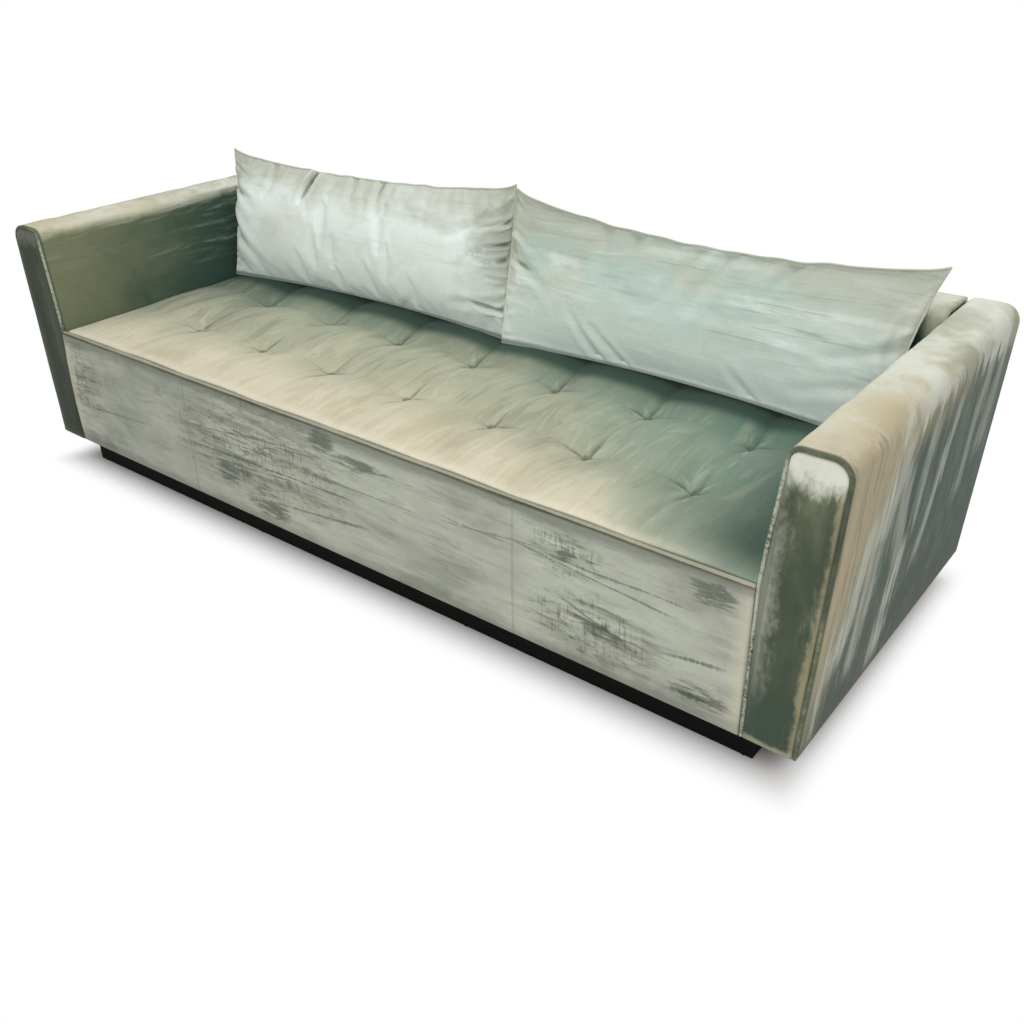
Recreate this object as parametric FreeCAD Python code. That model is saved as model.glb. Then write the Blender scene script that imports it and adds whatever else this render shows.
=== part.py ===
import FreeCAD, Part

import math
import os

from FreeCAD import Vector

# A three-seater sofa: a tufted bench seat between two slab arms, a low back with two
# loose cushions, and a recessed plinth. Millimetres, +X along the seat to the sitter's
# left, front facing -Y, +Z up, origin on the floor under the middle of the body.

# Body
inner_width = 2200.0  # clear width of the seat between the arms
seat_depth = 804.0  # front face to the face of the back
back_thickness = 146.0
body_height = 640.0  # underside to the tops of the arms and back
apron_height = 350.0  # underside to the top of the seat's front welt
pad = 14.0  # velvet over its wadding, wherever it wraps the frame
clearance = 0.3  # between soft pieces that lie against each other
least_round = 1.0  # of an inner corner that follows a rounded outer one

# Arms
arm_thickness = 120.0  # at the underside
arm_inner_splay = 26.0  # outward lean of the inner face, above the seat
arm_outer_splay = 26.0  # outward lean of the outer face, over its whole height
arm_inner_round = 26.0  # radius of the top edge beside the seat
arm_outer_round = 40.0
arm_waist_round = 160.0  # where the inner face starts to lean
arm_rear_round = 10.0  # edge round the rear end of the arm
facing_thickness = 12.0  # padded board on the front end of the arm
welt_diameter = 8.0  # piping round the facing
arm_post_depth = 45.0
arm_bottom_rail_height = 60.0
arm_top_rail_height = 50.0
arm_frame_lift = 2.0  # frame held up from the hem of the cover

# Back
back_edge_round = 26.0
back_lip_height = 38.0  # how far the top cover turns down behind
inside_back_tuck = 30.0  # gap under the inside back, where the webbing passes
back_post_width = 45.0
back_post_count = 5
back_end_post_inset = 60.0  # end of the seat to the centre of the end posts
back_top_rail_height = 45.0
tack_rail_height = 40.0
tack_rail_below_edge = 30.0  # seat edge to the top of the tack rail

# Plinth
glide_height = 3.0
glide_diameter = 20.0
glide_count = 4  # on each long board
plinth_height = 85.0
plinth_board = 22.0
plinth_end_setback = 103.0  # foot of the arm's outer face to the end of the plinth
plinth_setback = 50.0  # behind the front face and ahead of the rear face
plinth_cross_count = 2
plinth_block_leg = 80.0
plinth_block_height = 60.0
screw_diameter = 5.0
screw_head_diameter = 11.0
screw_head_height = 3.0
screw_bite = 40.0  # length in the seat frame's corner block
screw_from_end_rail = 18.0
screw_from_front_rail = 46.0

# Seat frame and suspension
dust_cover = 1.5
rail_thickness = 32.0
rail_height = 178.0
cross_rail_height = 110.0
cross_rail_count = 3
corner_block_leg = 110.0
strap_thickness = 2.5
strap_width = 60.0
straps_per_tuft = 2  # straps in each pitch of the tufts, one of them under the tuft
strap_end_inset = 4.0
felt_thickness = 6.0

# Tufted seat
tuft_columns = 7
tuft_rows = 2
seat_edge_drop = 3.0  # seat surface below the top of the welt, at its edges
biscuit_crown = 17.0  # crown of each biscuit above the edge
pleat_rise = 7.0  # pleat between two biscuits above the edge, midway between tufts
tuft_drop = 20.0  # tuft below the edge
tuft_bridge = 5.0  # top of the swell between two tufts of a row
edge_wave = 3.0  # slight swell of the edge between columns
side_rise = 2.0  # seat surface at the arms above the edge
top_pad_thickness = 34.0  # under the edge
bay_section_count = 8  # loft sections in the depth of each biscuit
seat_welt_diameter = 9.0
twine_diameter = 3.0
twine_room = 0.5  # round the twine in its hole
washer_diameter = 36.0
washer_thickness = 4.0
knot_diameter = 8.0
knot_height = 6.0

# Arm bolts
bolts_per_arm = 4
bolt_diameter = 8.0
bolt_clearance = 0.3
bolt_cover = 24.0  # timber of the arm beyond the end of a bolt
bolt_head_diameter = 16.0
bolt_head_height = 6.0
bolt_washer_diameter = 24.0
bolt_washer_thickness = 2.0
bolt_end_inset = 150.0  # end of the end rail to the first bolt

# Loose cushions: each triple is (left end, middle, right end), and the forward ones are
# distances ahead of the plane in which a cushion stands against the back
cushion_thickness = 168.0
cushion_end_thickness = 34.0
cushion_seam = 8.0  # width of the seam strip at the top and bottom
cushion_end_draw = 16.0  # how far each end draws in between its corners
cushion_bottom_draw = 9.0  # how far the bottom seam rises between its corners
cushion_settle = 2.3  # bottom corners below the crown of the seat
cushion_arm_gap = 8.0
cushion_middle_gap = 10.0
cover_thickness = 4.0
cover_seam_allowance = 16.0
left_bottom_forward = (77.0, 20.0, 33.0)
left_top_forward = (15.0, -19.0, -25.0)
left_top_height = (376.0, 354.0, 398.0)  # top seam above the crown of the seat
right_bottom_forward = (53.0, 23.0, 67.0)
right_top_forward = (-25.0, -24.0, -67.0)
right_top_height = (380.0, 338.0, 372.0)
cushion_station_count = 8  # loft sections from the middle of a cushion to either end
cushion_back_gap = 2.9  # belly of a cushion to the face of the back

# Levels and planes worked out from the above
half_inner = inner_width / 2
bolt_bite = arm_thickness - 2 * pad - bolt_cover
depth = seat_depth + back_thickness
front = -depth / 2
rear = depth / 2
underside = glide_height + plinth_height
arm_top = underside + body_height
welt_top = underside + apron_height
seat_edge = welt_top - seat_edge_drop
rail_bottom = underside + dust_cover
rail_top = rail_bottom + rail_height
strap_middle = rail_top + strap_thickness
strap_top = strap_middle + strap_thickness
felt_top = strap_top + felt_thickness
core_top = seat_edge - top_pad_thickness
seat_crown = seat_edge + biscuit_crown
seat_front = front + pad + clearance
seat_back = front + seat_depth - clearance
seat_half = half_inner - clearance
back_face = front + seat_depth
cushion_plane = back_face - cushion_back_gap - cushion_thickness / 2
rear_rail_front = back_face + pad + clearance
rear_rail_back = rear_rail_front + rail_thickness
tuft_pitch_x = inner_width / (tuft_columns + 1)
tuft_pitch_y = (seat_back - seat_front) / (tuft_rows + 1)
tufts = [
    (-half_inner + column * tuft_pitch_x, seat_front + row * tuft_pitch_y)
    for column in range(1, tuft_columns + 1)
    for row in range(1, tuft_rows + 1)
]

os.makedirs("parts", exist_ok=True)


def save(node, *shapes):
    """Write the solids of one sub-part to its own file."""
    Part.makeCompound(list(shapes)).exportStep("parts/" + node + ".step")


def block(x0, x1, y0, y1, z0, z1):
    """A box between two corners."""
    return Part.makeBox(x1 - x0, y1 - y0, z1 - z0, Vector(x0, y0, z0))


def mirrored(shape):
    """The shape on the other side of the middle plane."""
    return shape.mirror(Vector(0, 0, 0), Vector(1, 0, 0))


def spread(first, last, count):
    """Evenly spaced positions from first to last."""
    step = (last - first) / (count - 1)
    return [first + step * index for index in range(count)]


def drilled(shape, cutters):
    """The shape with holes made by the cutters."""
    for cutter in cutters:
        shape = shape.cut(cutter)
    return shape


def inset_outline(points, distances):
    """Move each side of a closed outline inward by its distance, and meet the sides again."""
    count = len(points)
    lines = []
    for index in range(count):
        ax, az = points[index]
        bx, bz = points[(index + 1) % count]
        length = math.hypot(bx - ax, bz - az)
        nx = (bz - az) / length
        nz = -(bx - ax) / length
        lines.append((nx, nz, nx * ax + nz * az + distances[index]))
    corners = []
    for index in range(count):
        n1x, n1z, c1 = lines[index - 1]
        n2x, n2z, c2 = lines[index]
        det = n1x * n2z - n1z * n2x
        corners.append(((c1 * n2z - c2 * n1z) / det, (n1x * c2 - n2x * c1) / det))
    return corners


def rounded_edges(points, radii, place, closed=True):
    """Lines along an outline, with an arc at each corner that has a radius."""
    count = len(points)
    stops = []
    for index, (x, z) in enumerate(points):
        radius = radii[index]
        if radius <= 0:
            stops.append(((x, z), None, (x, z)))
            continue
        before = points[index - 1]
        after = points[(index + 1) % count]
        ux, uz = before[0] - x, before[1] - z
        vx, vz = after[0] - x, after[1] - z
        ul, vl = math.hypot(ux, uz), math.hypot(vx, vz)
        ux, uz, vx, vz = ux / ul, uz / ul, vx / vl, vz / vl
        half = math.acos(max(-1.0, min(1.0, ux * vx + uz * vz))) / 2
        reach = radius / math.tan(half)
        bx, bz = ux + vx, uz + vz
        bl = math.hypot(bx, bz)
        dip = radius / math.sin(half) - radius
        middle = (x + bx / bl * dip, z + bz / bl * dip)
        stops.append(((x + ux * reach, z + uz * reach), middle, (x + vx * reach, z + vz * reach)))
    edges = []
    for index, (enter, middle, leave) in enumerate(stops):
        if middle:
            edges.append(Part.Arc(place(enter), place(middle), place(leave)).toShape())
        if index + 1 < count or closed:
            following = stops[(index + 1) % count][0]
            edges.append(Part.makeLine(place(leave), place(following)))
    return edges


def prism_along_y(points, radii, y0, y1):
    """An outline in X and Z carried from y0 to y1."""
    edges = rounded_edges(points, radii, lambda p: Vector(p[0], y0, p[1]))
    return Part.Face(Part.Wire(edges)).extrude(Vector(0, y1 - y0, 0))


def prism_along_x(points, radii, x0, x1):
    """An outline in Y and Z carried from x0 to x1."""
    edges = rounded_edges(points, radii, lambda p: Vector(x0, p[0], p[1]))
    return Part.Face(Part.Wire(edges)).extrude(Vector(x1 - x0, 0, 0))


# The right arm's outline seen from the front, clockwise from its inner bottom corner.
arm_corners = [
    (half_inner, underside),
    (half_inner, welt_top),
    (half_inner + arm_inner_splay, arm_top),
    (half_inner + arm_thickness + arm_outer_splay, arm_top),
    (half_inner + arm_thickness, underside),
]


def arm_outline(inset):
    """The arm's outline and corner radii, drawn in by inset on all sides but the underside."""
    points = inset_outline(arm_corners, [inset, inset, inset, inset, 0])
    inner_round = max(arm_inner_round - inset, least_round)
    outer_round = max(arm_outer_round - inset, least_round)
    return points, [0, arm_waist_round, inner_round, outer_round, 0]


def arm_envelope(y0, y1, inset=0.0):
    """The right arm as one slab."""
    points, radii = arm_outline(inset)
    return prism_along_y(points, radii, y0, y1)


def arm_cover():
    """Velvet over wadding round the inside, top, outside and rear end of the right arm."""
    slab = arm_envelope(front + facing_thickness, rear)
    rim = []
    for edge in slab.Edges:
        middle = edge.CenterOfMass
        if math.isclose(middle.y, rear) and middle.z > underside + pad:
            rim.append(edge)
    slab = slab.makeFillet(arm_rear_round, rim)
    cavity = arm_envelope(front, rear - pad, pad)
    return drilled(slab.cut(cavity), bolt_holes(clearance))


def arm_facing():
    """Padded board on the front end of the right arm, inside its welt."""
    points, radii = arm_outline(welt_diameter + clearance)
    return prism_along_y(points, radii, front, front + facing_thickness)


def arm_welt():
    """Piping up the inner edge of the facing, over the top and down the outer edge."""
    points, radii = arm_outline(welt_diameter / 2)
    centre_y = front + facing_thickness - welt_diameter / 2
    edges = rounded_edges(points, radii, lambda p: Vector(p[0], centre_y, p[1]), closed=False)
    path = Part.Wire(edges)
    start = Vector(points[0][0], centre_y, points[0][1])
    profile = Part.Wire(Part.makeCircle(welt_diameter / 2, start, Vector(0, 0, 1)))
    return path.makePipeShell([profile], True, False)


def arm_timber(y0, y1, z0, z1):
    """A timber that fills the hollow of the right arm between two heights."""
    hollow = arm_envelope(y0, y1, pad)
    reach = half_inner + 2 * arm_thickness
    return hollow.common(block(0, reach, y0, y1, z0, z1))


def arm_timbers():
    """Posts and rails of the right arm, by name."""
    bottom = underside + arm_frame_lift
    rail_shoulder = bottom + arm_bottom_rail_height
    top_shoulder = arm_top - pad - arm_top_rail_height
    y0 = front + facing_thickness
    y1 = rear - pad
    middle = (y0 + y1) / 2
    half_post = arm_post_depth / 2
    bottom_rail = arm_timber(y0 + arm_post_depth, y1 - arm_post_depth, bottom, rail_shoulder)
    return {
        "front_post": arm_timber(y0, y0 + arm_post_depth, bottom, top_shoulder),
        "middle_post": arm_timber(middle - half_post, middle + half_post, rail_shoulder, top_shoulder),
        "rear_post": arm_timber(y1 - arm_post_depth, y1, bottom, top_shoulder),
        "top_rail": arm_timber(y0, y1, top_shoulder, arm_top - pad),
        "bottom_rail": drilled(bottom_rail, bolt_holes(bolt_clearance)),
    }


def bolt_places():
    """Y and Z of the bolts that hold the right arm to the end rail."""
    first = front + pad + rail_thickness + bolt_end_inset
    last = rear_rail_front - bolt_end_inset
    height = underside + arm_frame_lift + arm_bottom_rail_height / 2
    return [(y, height) for y in spread(first, last, bolts_per_arm)]


def bolt_holes(room):
    """Cutters along the right arm's bolts, wider than the bolts by the given room."""
    start = half_inner - rail_thickness - bolt_head_height - bolt_washer_thickness
    length = bolt_head_height + bolt_washer_thickness + rail_thickness + pad + bolt_bite + room
    radius = bolt_diameter / 2 + room
    return [
        Part.makeCylinder(radius, length, Vector(start, y, z), Vector(1, 0, 0)) for y, z in bolt_places()
    ]


def arm_bolts():
    """Bolts from inside the seat frame into the right arm, with their round heads."""
    seat = half_inner - rail_thickness - bolt_washer_thickness
    bolts = []
    for y, z in bolt_places():
        head = Part.makeCylinder(
            bolt_head_diameter / 2, bolt_head_height, Vector(seat - bolt_head_height, y, z), Vector(1, 0, 0)
        )
        length = bolt_washer_thickness + rail_thickness + pad + bolt_bite
        shank = Part.makeCylinder(bolt_diameter / 2, length, Vector(seat, y, z), Vector(1, 0, 0))
        bolts.append(head.fuse(shank).removeSplitter())
    return bolts


def arm_bolt_washers():
    """Plain washers under the heads of the right arm's bolts."""
    start = half_inner - rail_thickness - bolt_washer_thickness
    washers = []
    for y, z in bolt_places():
        disc = Part.makeCylinder(
            bolt_washer_diameter / 2, bolt_washer_thickness, Vector(start, y, z), Vector(1, 0, 0)
        )
        washers.append(disc)
    return [drilled(washer, bolt_holes(bolt_clearance)) for washer in washers]


def back_section(inset):
    """The back's outline seen from the side, from its front bottom corner."""
    points = [(back_face, rail_bottom), (back_face, arm_top), (rear, arm_top), (rear, rail_bottom)]
    points = inset_outline(points, [inset, inset, inset, 0])
    rounding = max(back_edge_round - inset, least_round)
    return points, [0, rounding, rounding, 0]


def between_arms(shape):
    """Trim a shape to the space between the planes of the arms' inner faces."""
    points = inset_outline(arm_corners, [-clearance, -clearance, -pad, -pad, -pad])
    arm = prism_along_y(points, [0] * len(points), front - pad, rear + pad)
    return shape.cut(arm).cut(mirrored(arm))


def inside_back():
    """Cover of the back's face and top, turned down behind."""
    reach = half_inner + arm_thickness / 2
    outer = prism_along_x(*back_section(0), -reach, reach)
    inner = prism_along_x(*back_section(pad), -reach, reach)
    shell = outer.cut(inner)
    face_bottom = strap_top + inside_back_tuck
    shell = shell.cut(block(-reach, reach, front, rear - back_thickness / 2, 0, face_bottom))
    lip_bottom = arm_top - back_lip_height
    shell = shell.cut(block(-reach, reach, rear - back_thickness / 2, rear + pad, 0, lip_bottom))
    return between_arms(shell)


def outside_back():
    """Cover of the rear of the back, from the hem up to the turned-down lip."""
    lip_bottom = arm_top - back_lip_height
    reach = half_inner + arm_thickness / 2
    return between_arms(block(-reach, reach, rear - pad, rear, underside, lip_bottom))


def back_posts():
    """Uprights bolted to the rear rail."""
    top = arm_top - pad - back_top_rail_height
    end = half_inner - back_end_post_inset
    half = back_post_width / 2
    return [
        block(x - half, x + half, rear_rail_back, rear - pad, rail_bottom, top)
        for x in spread(-end, end, back_post_count)
    ]


def back_rails():
    """Top rail over the posts, and the tack rail that the inside back is fixed to."""
    top = arm_top - pad
    end = half_inner - clearance
    hollow = prism_along_x(*back_section(pad), -end, end)
    top_rail = hollow.common(block(-end, end, back_face, rear, top - back_top_rail_height, top))
    tack_top = seat_edge - tack_rail_below_edge
    tack_rail = block(-end, end, back_face + pad, rear_rail_back, tack_top - tack_rail_height, tack_top)
    return top_rail, tack_rail


def corner_prism(x, y, toward_x, toward_y, leg, z0, z1):
    """A three-cornered glue block in an inside corner."""
    corners = [Vector(x, y, z0), Vector(x + toward_x * leg, y, z0), Vector(x, y + toward_y * leg, z0)]
    wire = Part.makePolygon(corners + corners[:1])
    return Part.Face(wire).extrude(Vector(0, 0, z1 - z0))


def screw_places():
    """X and Y of the screws that hold the plinth to the seat frame's corner blocks."""
    x = half_inner - rail_thickness - screw_from_end_rail
    y_front = front + pad + rail_thickness + screw_from_front_rail
    y_rear = rear_rail_front - screw_from_front_rail
    return [(side * x, y) for side in (-1, 1) for y in (y_front, y_rear)]


def screw_holes():
    """Cutters along the plinth screws."""
    start = underside - plinth_block_height
    length = plinth_block_height + dust_cover + screw_bite + clearance
    radius = screw_diameter / 2 + clearance
    return [Part.makeCylinder(radius, length, Vector(x, y, start)) for x, y in screw_places()]


def plinth():
    """Boards, cross boards, blocks, screws and glides of the plinth."""
    half = half_inner + arm_thickness - plinth_end_setback
    y0 = front + plinth_setback
    y1 = rear - plinth_setback
    z0 = glide_height
    save("plinth_front_board", block(-half, half, y0, y0 + plinth_board, z0, underside))
    save("plinth_rear_board", block(-half, half, y1 - plinth_board, y1, z0, underside))
    inner_y0 = y0 + plinth_board
    inner_y1 = y1 - plinth_board
    inner_x = half - plinth_board
    end_board = block(inner_x, half, inner_y0, inner_y1, z0, underside)
    save("plinth_right_board", end_board)
    save("plinth_left_board", mirrored(end_board))
    cross = []
    for x in spread(-inner_x, inner_x, plinth_cross_count + 2)[1:-1]:
        cross.append(block(x - plinth_board / 2, x + plinth_board / 2, inner_y0, inner_y1, z0, underside))
    save("plinth_cross_boards", *cross)
    block_bottom = underside - plinth_block_height
    leg = plinth_block_leg
    rear_y = rear_rail_front - screw_from_front_rail
    blocks = [
        block(inner_x - leg, inner_x, inner_y0, inner_y0 + leg, block_bottom, underside),
        block(inner_x - leg, inner_x, rear_y - leg / 2, rear_y + leg / 2, block_bottom, underside),
    ]
    blocks += [mirrored(carrier) for carrier in blocks]
    save("plinth_blocks", *[drilled(carrier, screw_holes()) for carrier in blocks])
    screws = []
    for x, y in screw_places():
        head = Part.makeCylinder(
            screw_head_diameter / 2, screw_head_height, Vector(x, y, block_bottom - screw_head_height)
        )
        length = plinth_block_height + dust_cover + screw_bite
        shank = Part.makeCylinder(screw_diameter / 2, length, Vector(x, y, block_bottom))
        screws.append(head.fuse(shank).removeSplitter())
    save("plinth_screws", *screws)
    glides = []
    for y in (y0 + plinth_board / 2, y1 - plinth_board / 2):
        for x in spread(-inner_x, inner_x, glide_count):
            glides.append(Part.makeCylinder(glide_diameter / 2, glide_height, Vector(x, y, 0)))
    save("floor_glides", *glides)


def seat_frame():
    """Rails, cross rails, corner blocks and the dust cover under them."""
    y0 = front + pad
    y1 = y0 + rail_thickness
    save("seat_front_rail", block(-half_inner, half_inner, y0, y1, rail_bottom, rail_top))
    rear_rail = block(-half_inner, half_inner, rear_rail_front, rear_rail_back, rail_bottom, rail_top)
    save("seat_rear_rail", rear_rail)
    inner_x = half_inner - rail_thickness
    end_rail = block(inner_x, half_inner, y1, rear_rail_front, rail_bottom, strap_middle)
    end_rail = drilled(end_rail, bolt_holes(bolt_clearance))
    save("seat_right_rail", end_rail)
    save("seat_left_rail", mirrored(end_rail))
    cross = []
    half = rail_thickness / 2
    top = rail_bottom + cross_rail_height
    for x in spread(-half_inner, half_inner, cross_rail_count + 2)[1:-1]:
        cross.append(block(x - half, x + half, y1, rear_rail_front, rail_bottom, top))
    save("seat_cross_rails", *cross)
    blocks = []
    for side in (-1, 1):
        for y, toward in ((y1, 1), (rear_rail_front, -1)):
            blocks.append(corner_prism(side * inner_x, y, -side, toward, corner_block_leg, rail_bottom, top))
    save("seat_corner_blocks", *[drilled(carrier, screw_holes()) for carrier in blocks])
    cloth = block(-half_inner, half_inner, y0, rear - pad, underside, rail_bottom)
    save("dust_cover", drilled(cloth, screw_holes()))


def twine_holes(z0, z1):
    """Cutters for the tufting twine between two heights."""
    return [Part.makeCylinder(twine_diameter / 2 + twine_room, z1 - z0, Vector(x, y, z0)) for x, y in tufts]


def suspension():
    """Webbing straps, felt and foam core under the tufted top."""
    y0 = front + pad + strap_end_inset
    y1 = rear_rail_back - strap_end_inset
    half = strap_width / 2
    holes = twine_holes(rail_bottom, core_top)
    deep = []
    pitches = straps_per_tuft * (tuft_columns + 1)
    for x in spread(-half_inner, half_inner, pitches + 1)[1:-1]:
        deep.append(drilled(block(x - half, x + half, y0, y1, rail_top, strap_middle), holes))
    save("webbing_front_to_back", *deep)
    wide = []
    x1 = half_inner - strap_end_inset
    pitches = straps_per_tuft * (tuft_rows + 1)
    for y in spread(seat_front, seat_back, pitches + 1)[1:-1]:
        wide.append(drilled(block(-x1, x1, y - half, y + half, strap_middle, strap_top), holes))
    save("webbing_side_to_side", *wide)
    felt = block(-seat_half, seat_half, seat_front, seat_back, strap_top, felt_top)
    save("seat_felt", drilled(felt, holes))
    core = block(-seat_half, seat_half, seat_front, seat_back, felt_top, core_top)
    save("seat_foam_core", drilled(core, holes))


def seat_top_section(y, column_height, side_height, peak):
    """Outline of the tufted top at one depth: a swell between each pair of columns."""
    xs = spread(-seat_half, seat_half, tuft_columns + 2)
    heights = [side_height] + [column_height] * tuft_columns + [side_height]
    points = [Vector(x, y, z) for x, z in zip(xs, heights)]
    edges = []
    for start, end in zip(points, points[1:]):
        crest = Vector((start.x + end.x) / 2, y, peak)
        edges.append(Part.Arc(start, crest, end).toShape())
    low_right = Vector(seat_half, y, core_top)
    low_left = Vector(-seat_half, y, core_top)
    edges.append(Part.makeLine(points[-1], low_right))
    edges.append(Part.makeLine(low_right, low_left))
    edges.append(Part.makeLine(low_left, points[0]))
    return Part.Wire(edges)


def tufted_top():
    """The sewn-down seat top: a grid of crowned biscuits drawn in at each tuft.

    From a row of tufts, or an edge, to the middle of a biscuit the heights follow a half sine.
    """
    bays = tuft_rows + 1
    count = bays * bay_section_count
    sections = []
    for step in range(count + 1):
        crown = math.sin(math.pi * (step % bay_section_count) / bay_section_count)
        at_edge = step < bay_section_count / 2 or step > count - bay_section_count / 2
        column_foot = 0.0 if at_edge else -tuft_drop
        peak_foot = edge_wave if at_edge else tuft_bridge
        column = seat_edge + column_foot + (pleat_rise - column_foot) * crown
        peak = seat_edge + peak_foot + (biscuit_crown - peak_foot) * crown
        side = seat_edge + side_rise * crown
        y = seat_front + step * tuft_pitch_y / bay_section_count
        sections.append(seat_top_section(y, column, side, peak))
    return Part.makeLoft(sections, True, True)


def tufting():
    """Twine from each tuft down through the foam, with a washer and knot under the webbing."""
    washer_bottom = rail_top - washer_thickness
    twines = []
    washers = []
    for x, y in tufts:
        cord = Part.makeCylinder(twine_diameter / 2, core_top - washer_bottom, Vector(x, y, washer_bottom))
        knot = Part.makeCylinder(knot_diameter / 2, knot_height, Vector(x, y, washer_bottom - knot_height))
        twines.append(cord.fuse(knot))
        disc = Part.makeCylinder(washer_diameter / 2, washer_thickness, Vector(x, y, washer_bottom))
        washers.append(drilled(disc, twine_holes(washer_bottom, rail_top)))
    save("tufting_twine", *twines)
    save("tufting_washers", *washers)


def seat_front_border():
    """The apron under the seat's front edge, and the welt along its top."""
    apron_top = welt_top - seat_welt_diameter
    save("front_apron", block(-seat_half, seat_half, front, front + pad, underside, apron_top))
    axis = Vector(-seat_half, front + pad / 2, welt_top - seat_welt_diameter / 2)
    save(
        "seat_front_welt",
        Part.makeCylinder(seat_welt_diameter / 2, 2 * seat_half, axis, Vector(1, 0, 0)),
    )


def through_three(values, t):
    """The parabola through values at the left end (-1), middle (0) and right end (1)."""
    left, middle, right = values
    return middle + (right - left) / 2 * t + ((left + right) / 2 - middle) * t * t


def cushion_section(t, x, form, inset, seam_inset):
    """Lens-shaped outline of a cushion at one station along its length."""
    bottom_forward, top_forward, top_height = form
    foot_z = seat_crown - cushion_settle + cushion_bottom_draw * (1 - t * t)
    foot = Vector(x, cushion_plane - through_three(bottom_forward, t), foot_z)
    head = Vector(x, cushion_plane - through_three(top_forward, t), seat_crown + through_three(top_height, t))
    along = (head - foot).normalize()
    foot = foot + along * seam_inset
    head = head - along * seam_inset
    outward = Vector(0, -along.z, along.y)
    swell = math.sqrt(max(1 - t * t, 0.0))
    half = cushion_end_thickness / 2 + (cushion_thickness - cushion_end_thickness) / 2 * swell - inset
    strip = outward * (cushion_seam / 2)
    belly = outward * half
    middle = (foot + head) * 0.5
    edges = [
        Part.Arc(foot + strip, middle + belly, head + strip).toShape(),
        Part.makeLine(head + strip, head - strip),
        Part.Arc(head - strip, middle - belly, foot - strip).toShape(),
        Part.makeLine(foot - strip, foot + strip),
    ]
    return Part.Wire(edges)


def cushion_loft(x0, x1, form, inset, seam_inset):
    """Loft of lens sections from one end of a cushion to the other."""
    sections = []
    for step in range(-cushion_station_count, cushion_station_count + 1):
        t = math.sin(math.pi / 2 * step / cushion_station_count)
        x = x0 + seam_inset + (x1 - x0 - 2 * seam_inset) * (t + 1) / 2
        sections.append(cushion_section(t, x, form, inset, seam_inset))
    return Part.makeLoft(sections, True, True)


def end_bite(x, inward, form_height):
    """Cutter that draws in one end of a cushion between its corners."""
    low = Vector(x, front, seat_crown)
    middle = Vector(x + inward * cushion_end_draw, front, seat_crown + form_height / 2)
    high = Vector(x, front, seat_crown + form_height)
    arc = Part.Arc(low, middle, high).toShape()
    line = Part.makeLine(high, low)
    return Part.Face(Part.Wire([arc, line])).extrude(Vector(0, depth, 0))


def cushion(name, x0, x1, form):
    """Velvet cover and feather insert of one loose cushion."""
    top_height = form[2]
    outer = cushion_loft(x0, x1, form, 0, 0)
    outer = outer.cut(end_bite(x0, 1, top_height[0])).cut(end_bite(x1, -1, top_height[2]))
    inner_seam = cover_seam_allowance + cushion_end_draw
    hollow = cushion_loft(x0, x1, form, cover_thickness, inner_seam)
    insert = cushion_loft(x0, x1, form, cover_thickness + clearance, inner_seam + clearance)
    save(name + "_cushion_cover", outer.cut(hollow))
    save(name + "_cushion_insert", insert)


def arms():
    """Both arms: the right one is drawn and the left one mirrors it."""
    pieces = {"cover": arm_cover(), "front_facing": arm_facing(), "front_welt": arm_welt()}
    pieces.update(arm_timbers())
    for piece, shape in pieces.items():
        save("right_arm_" + piece, shape)
        save("left_arm_" + piece, mirrored(shape))
    bolts = arm_bolts()
    save("arm_bolts", *bolts, *[mirrored(bolt) for bolt in bolts])
    washers = arm_bolt_washers()
    save("arm_bolt_washers", *washers, *[mirrored(washer) for washer in washers])


def back():
    """Covers, posts and rails of the back."""
    save("inside_back_cover", inside_back())
    save("outside_back_cover", outside_back())
    save("back_posts", *back_posts())
    top_rail, tack_rail = back_rails()
    save("back_top_rail", top_rail)
    save("back_tack_rail", tack_rail)


def cushions():
    """The two loose back cushions, side by side between the arms."""
    outer_x = half_inner - cushion_arm_gap
    inner_x = cushion_middle_gap / 2
    cushion("left", -outer_x, -inner_x, (left_bottom_forward, left_top_forward, left_top_height))
    cushion("right", inner_x, outer_x, (right_bottom_forward, right_top_forward, right_top_height))


plinth()
seat_frame()
suspension()
save("tufted_seat_top", tufted_top())
tufting()
seat_front_border()
arms()
back()
cushions()
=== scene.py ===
"""Looks of a three-seater sofa in washed velvet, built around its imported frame.

Metres, in the frame of the solids: +X along the seat, front facing -Y, +Z up, floor at 0.
"""

import math
from functools import partial

import bmesh
import bpy
import numpy as np
from bpy.props import FloatProperty, FloatVectorProperty, IntProperty, PointerProperty
from mathutils import Matrix, Vector


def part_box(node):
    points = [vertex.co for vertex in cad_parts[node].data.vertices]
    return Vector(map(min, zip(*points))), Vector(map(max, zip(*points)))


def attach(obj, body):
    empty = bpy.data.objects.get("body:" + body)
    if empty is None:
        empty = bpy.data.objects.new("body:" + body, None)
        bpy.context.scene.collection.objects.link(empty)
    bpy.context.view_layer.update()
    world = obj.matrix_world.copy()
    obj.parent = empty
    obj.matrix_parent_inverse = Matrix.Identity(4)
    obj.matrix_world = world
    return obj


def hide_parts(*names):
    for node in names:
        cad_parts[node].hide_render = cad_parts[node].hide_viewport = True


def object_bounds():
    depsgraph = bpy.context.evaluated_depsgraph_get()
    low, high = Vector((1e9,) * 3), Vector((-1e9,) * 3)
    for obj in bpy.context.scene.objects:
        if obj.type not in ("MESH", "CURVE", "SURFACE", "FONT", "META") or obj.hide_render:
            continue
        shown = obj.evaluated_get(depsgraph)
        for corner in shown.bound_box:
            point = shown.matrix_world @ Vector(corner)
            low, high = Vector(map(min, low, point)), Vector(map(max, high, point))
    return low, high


bl_info = {
    "name": "Three-Seater Sofa",
    "version": (1, 0, 0),
    "blender": (4, 5, 0),
    "location": "3D View > Sidebar > Sofa",
    "description": "Velvet, cushions and finishes of a three-seater sofa on its frame",
    "category": "Object",
}

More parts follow.
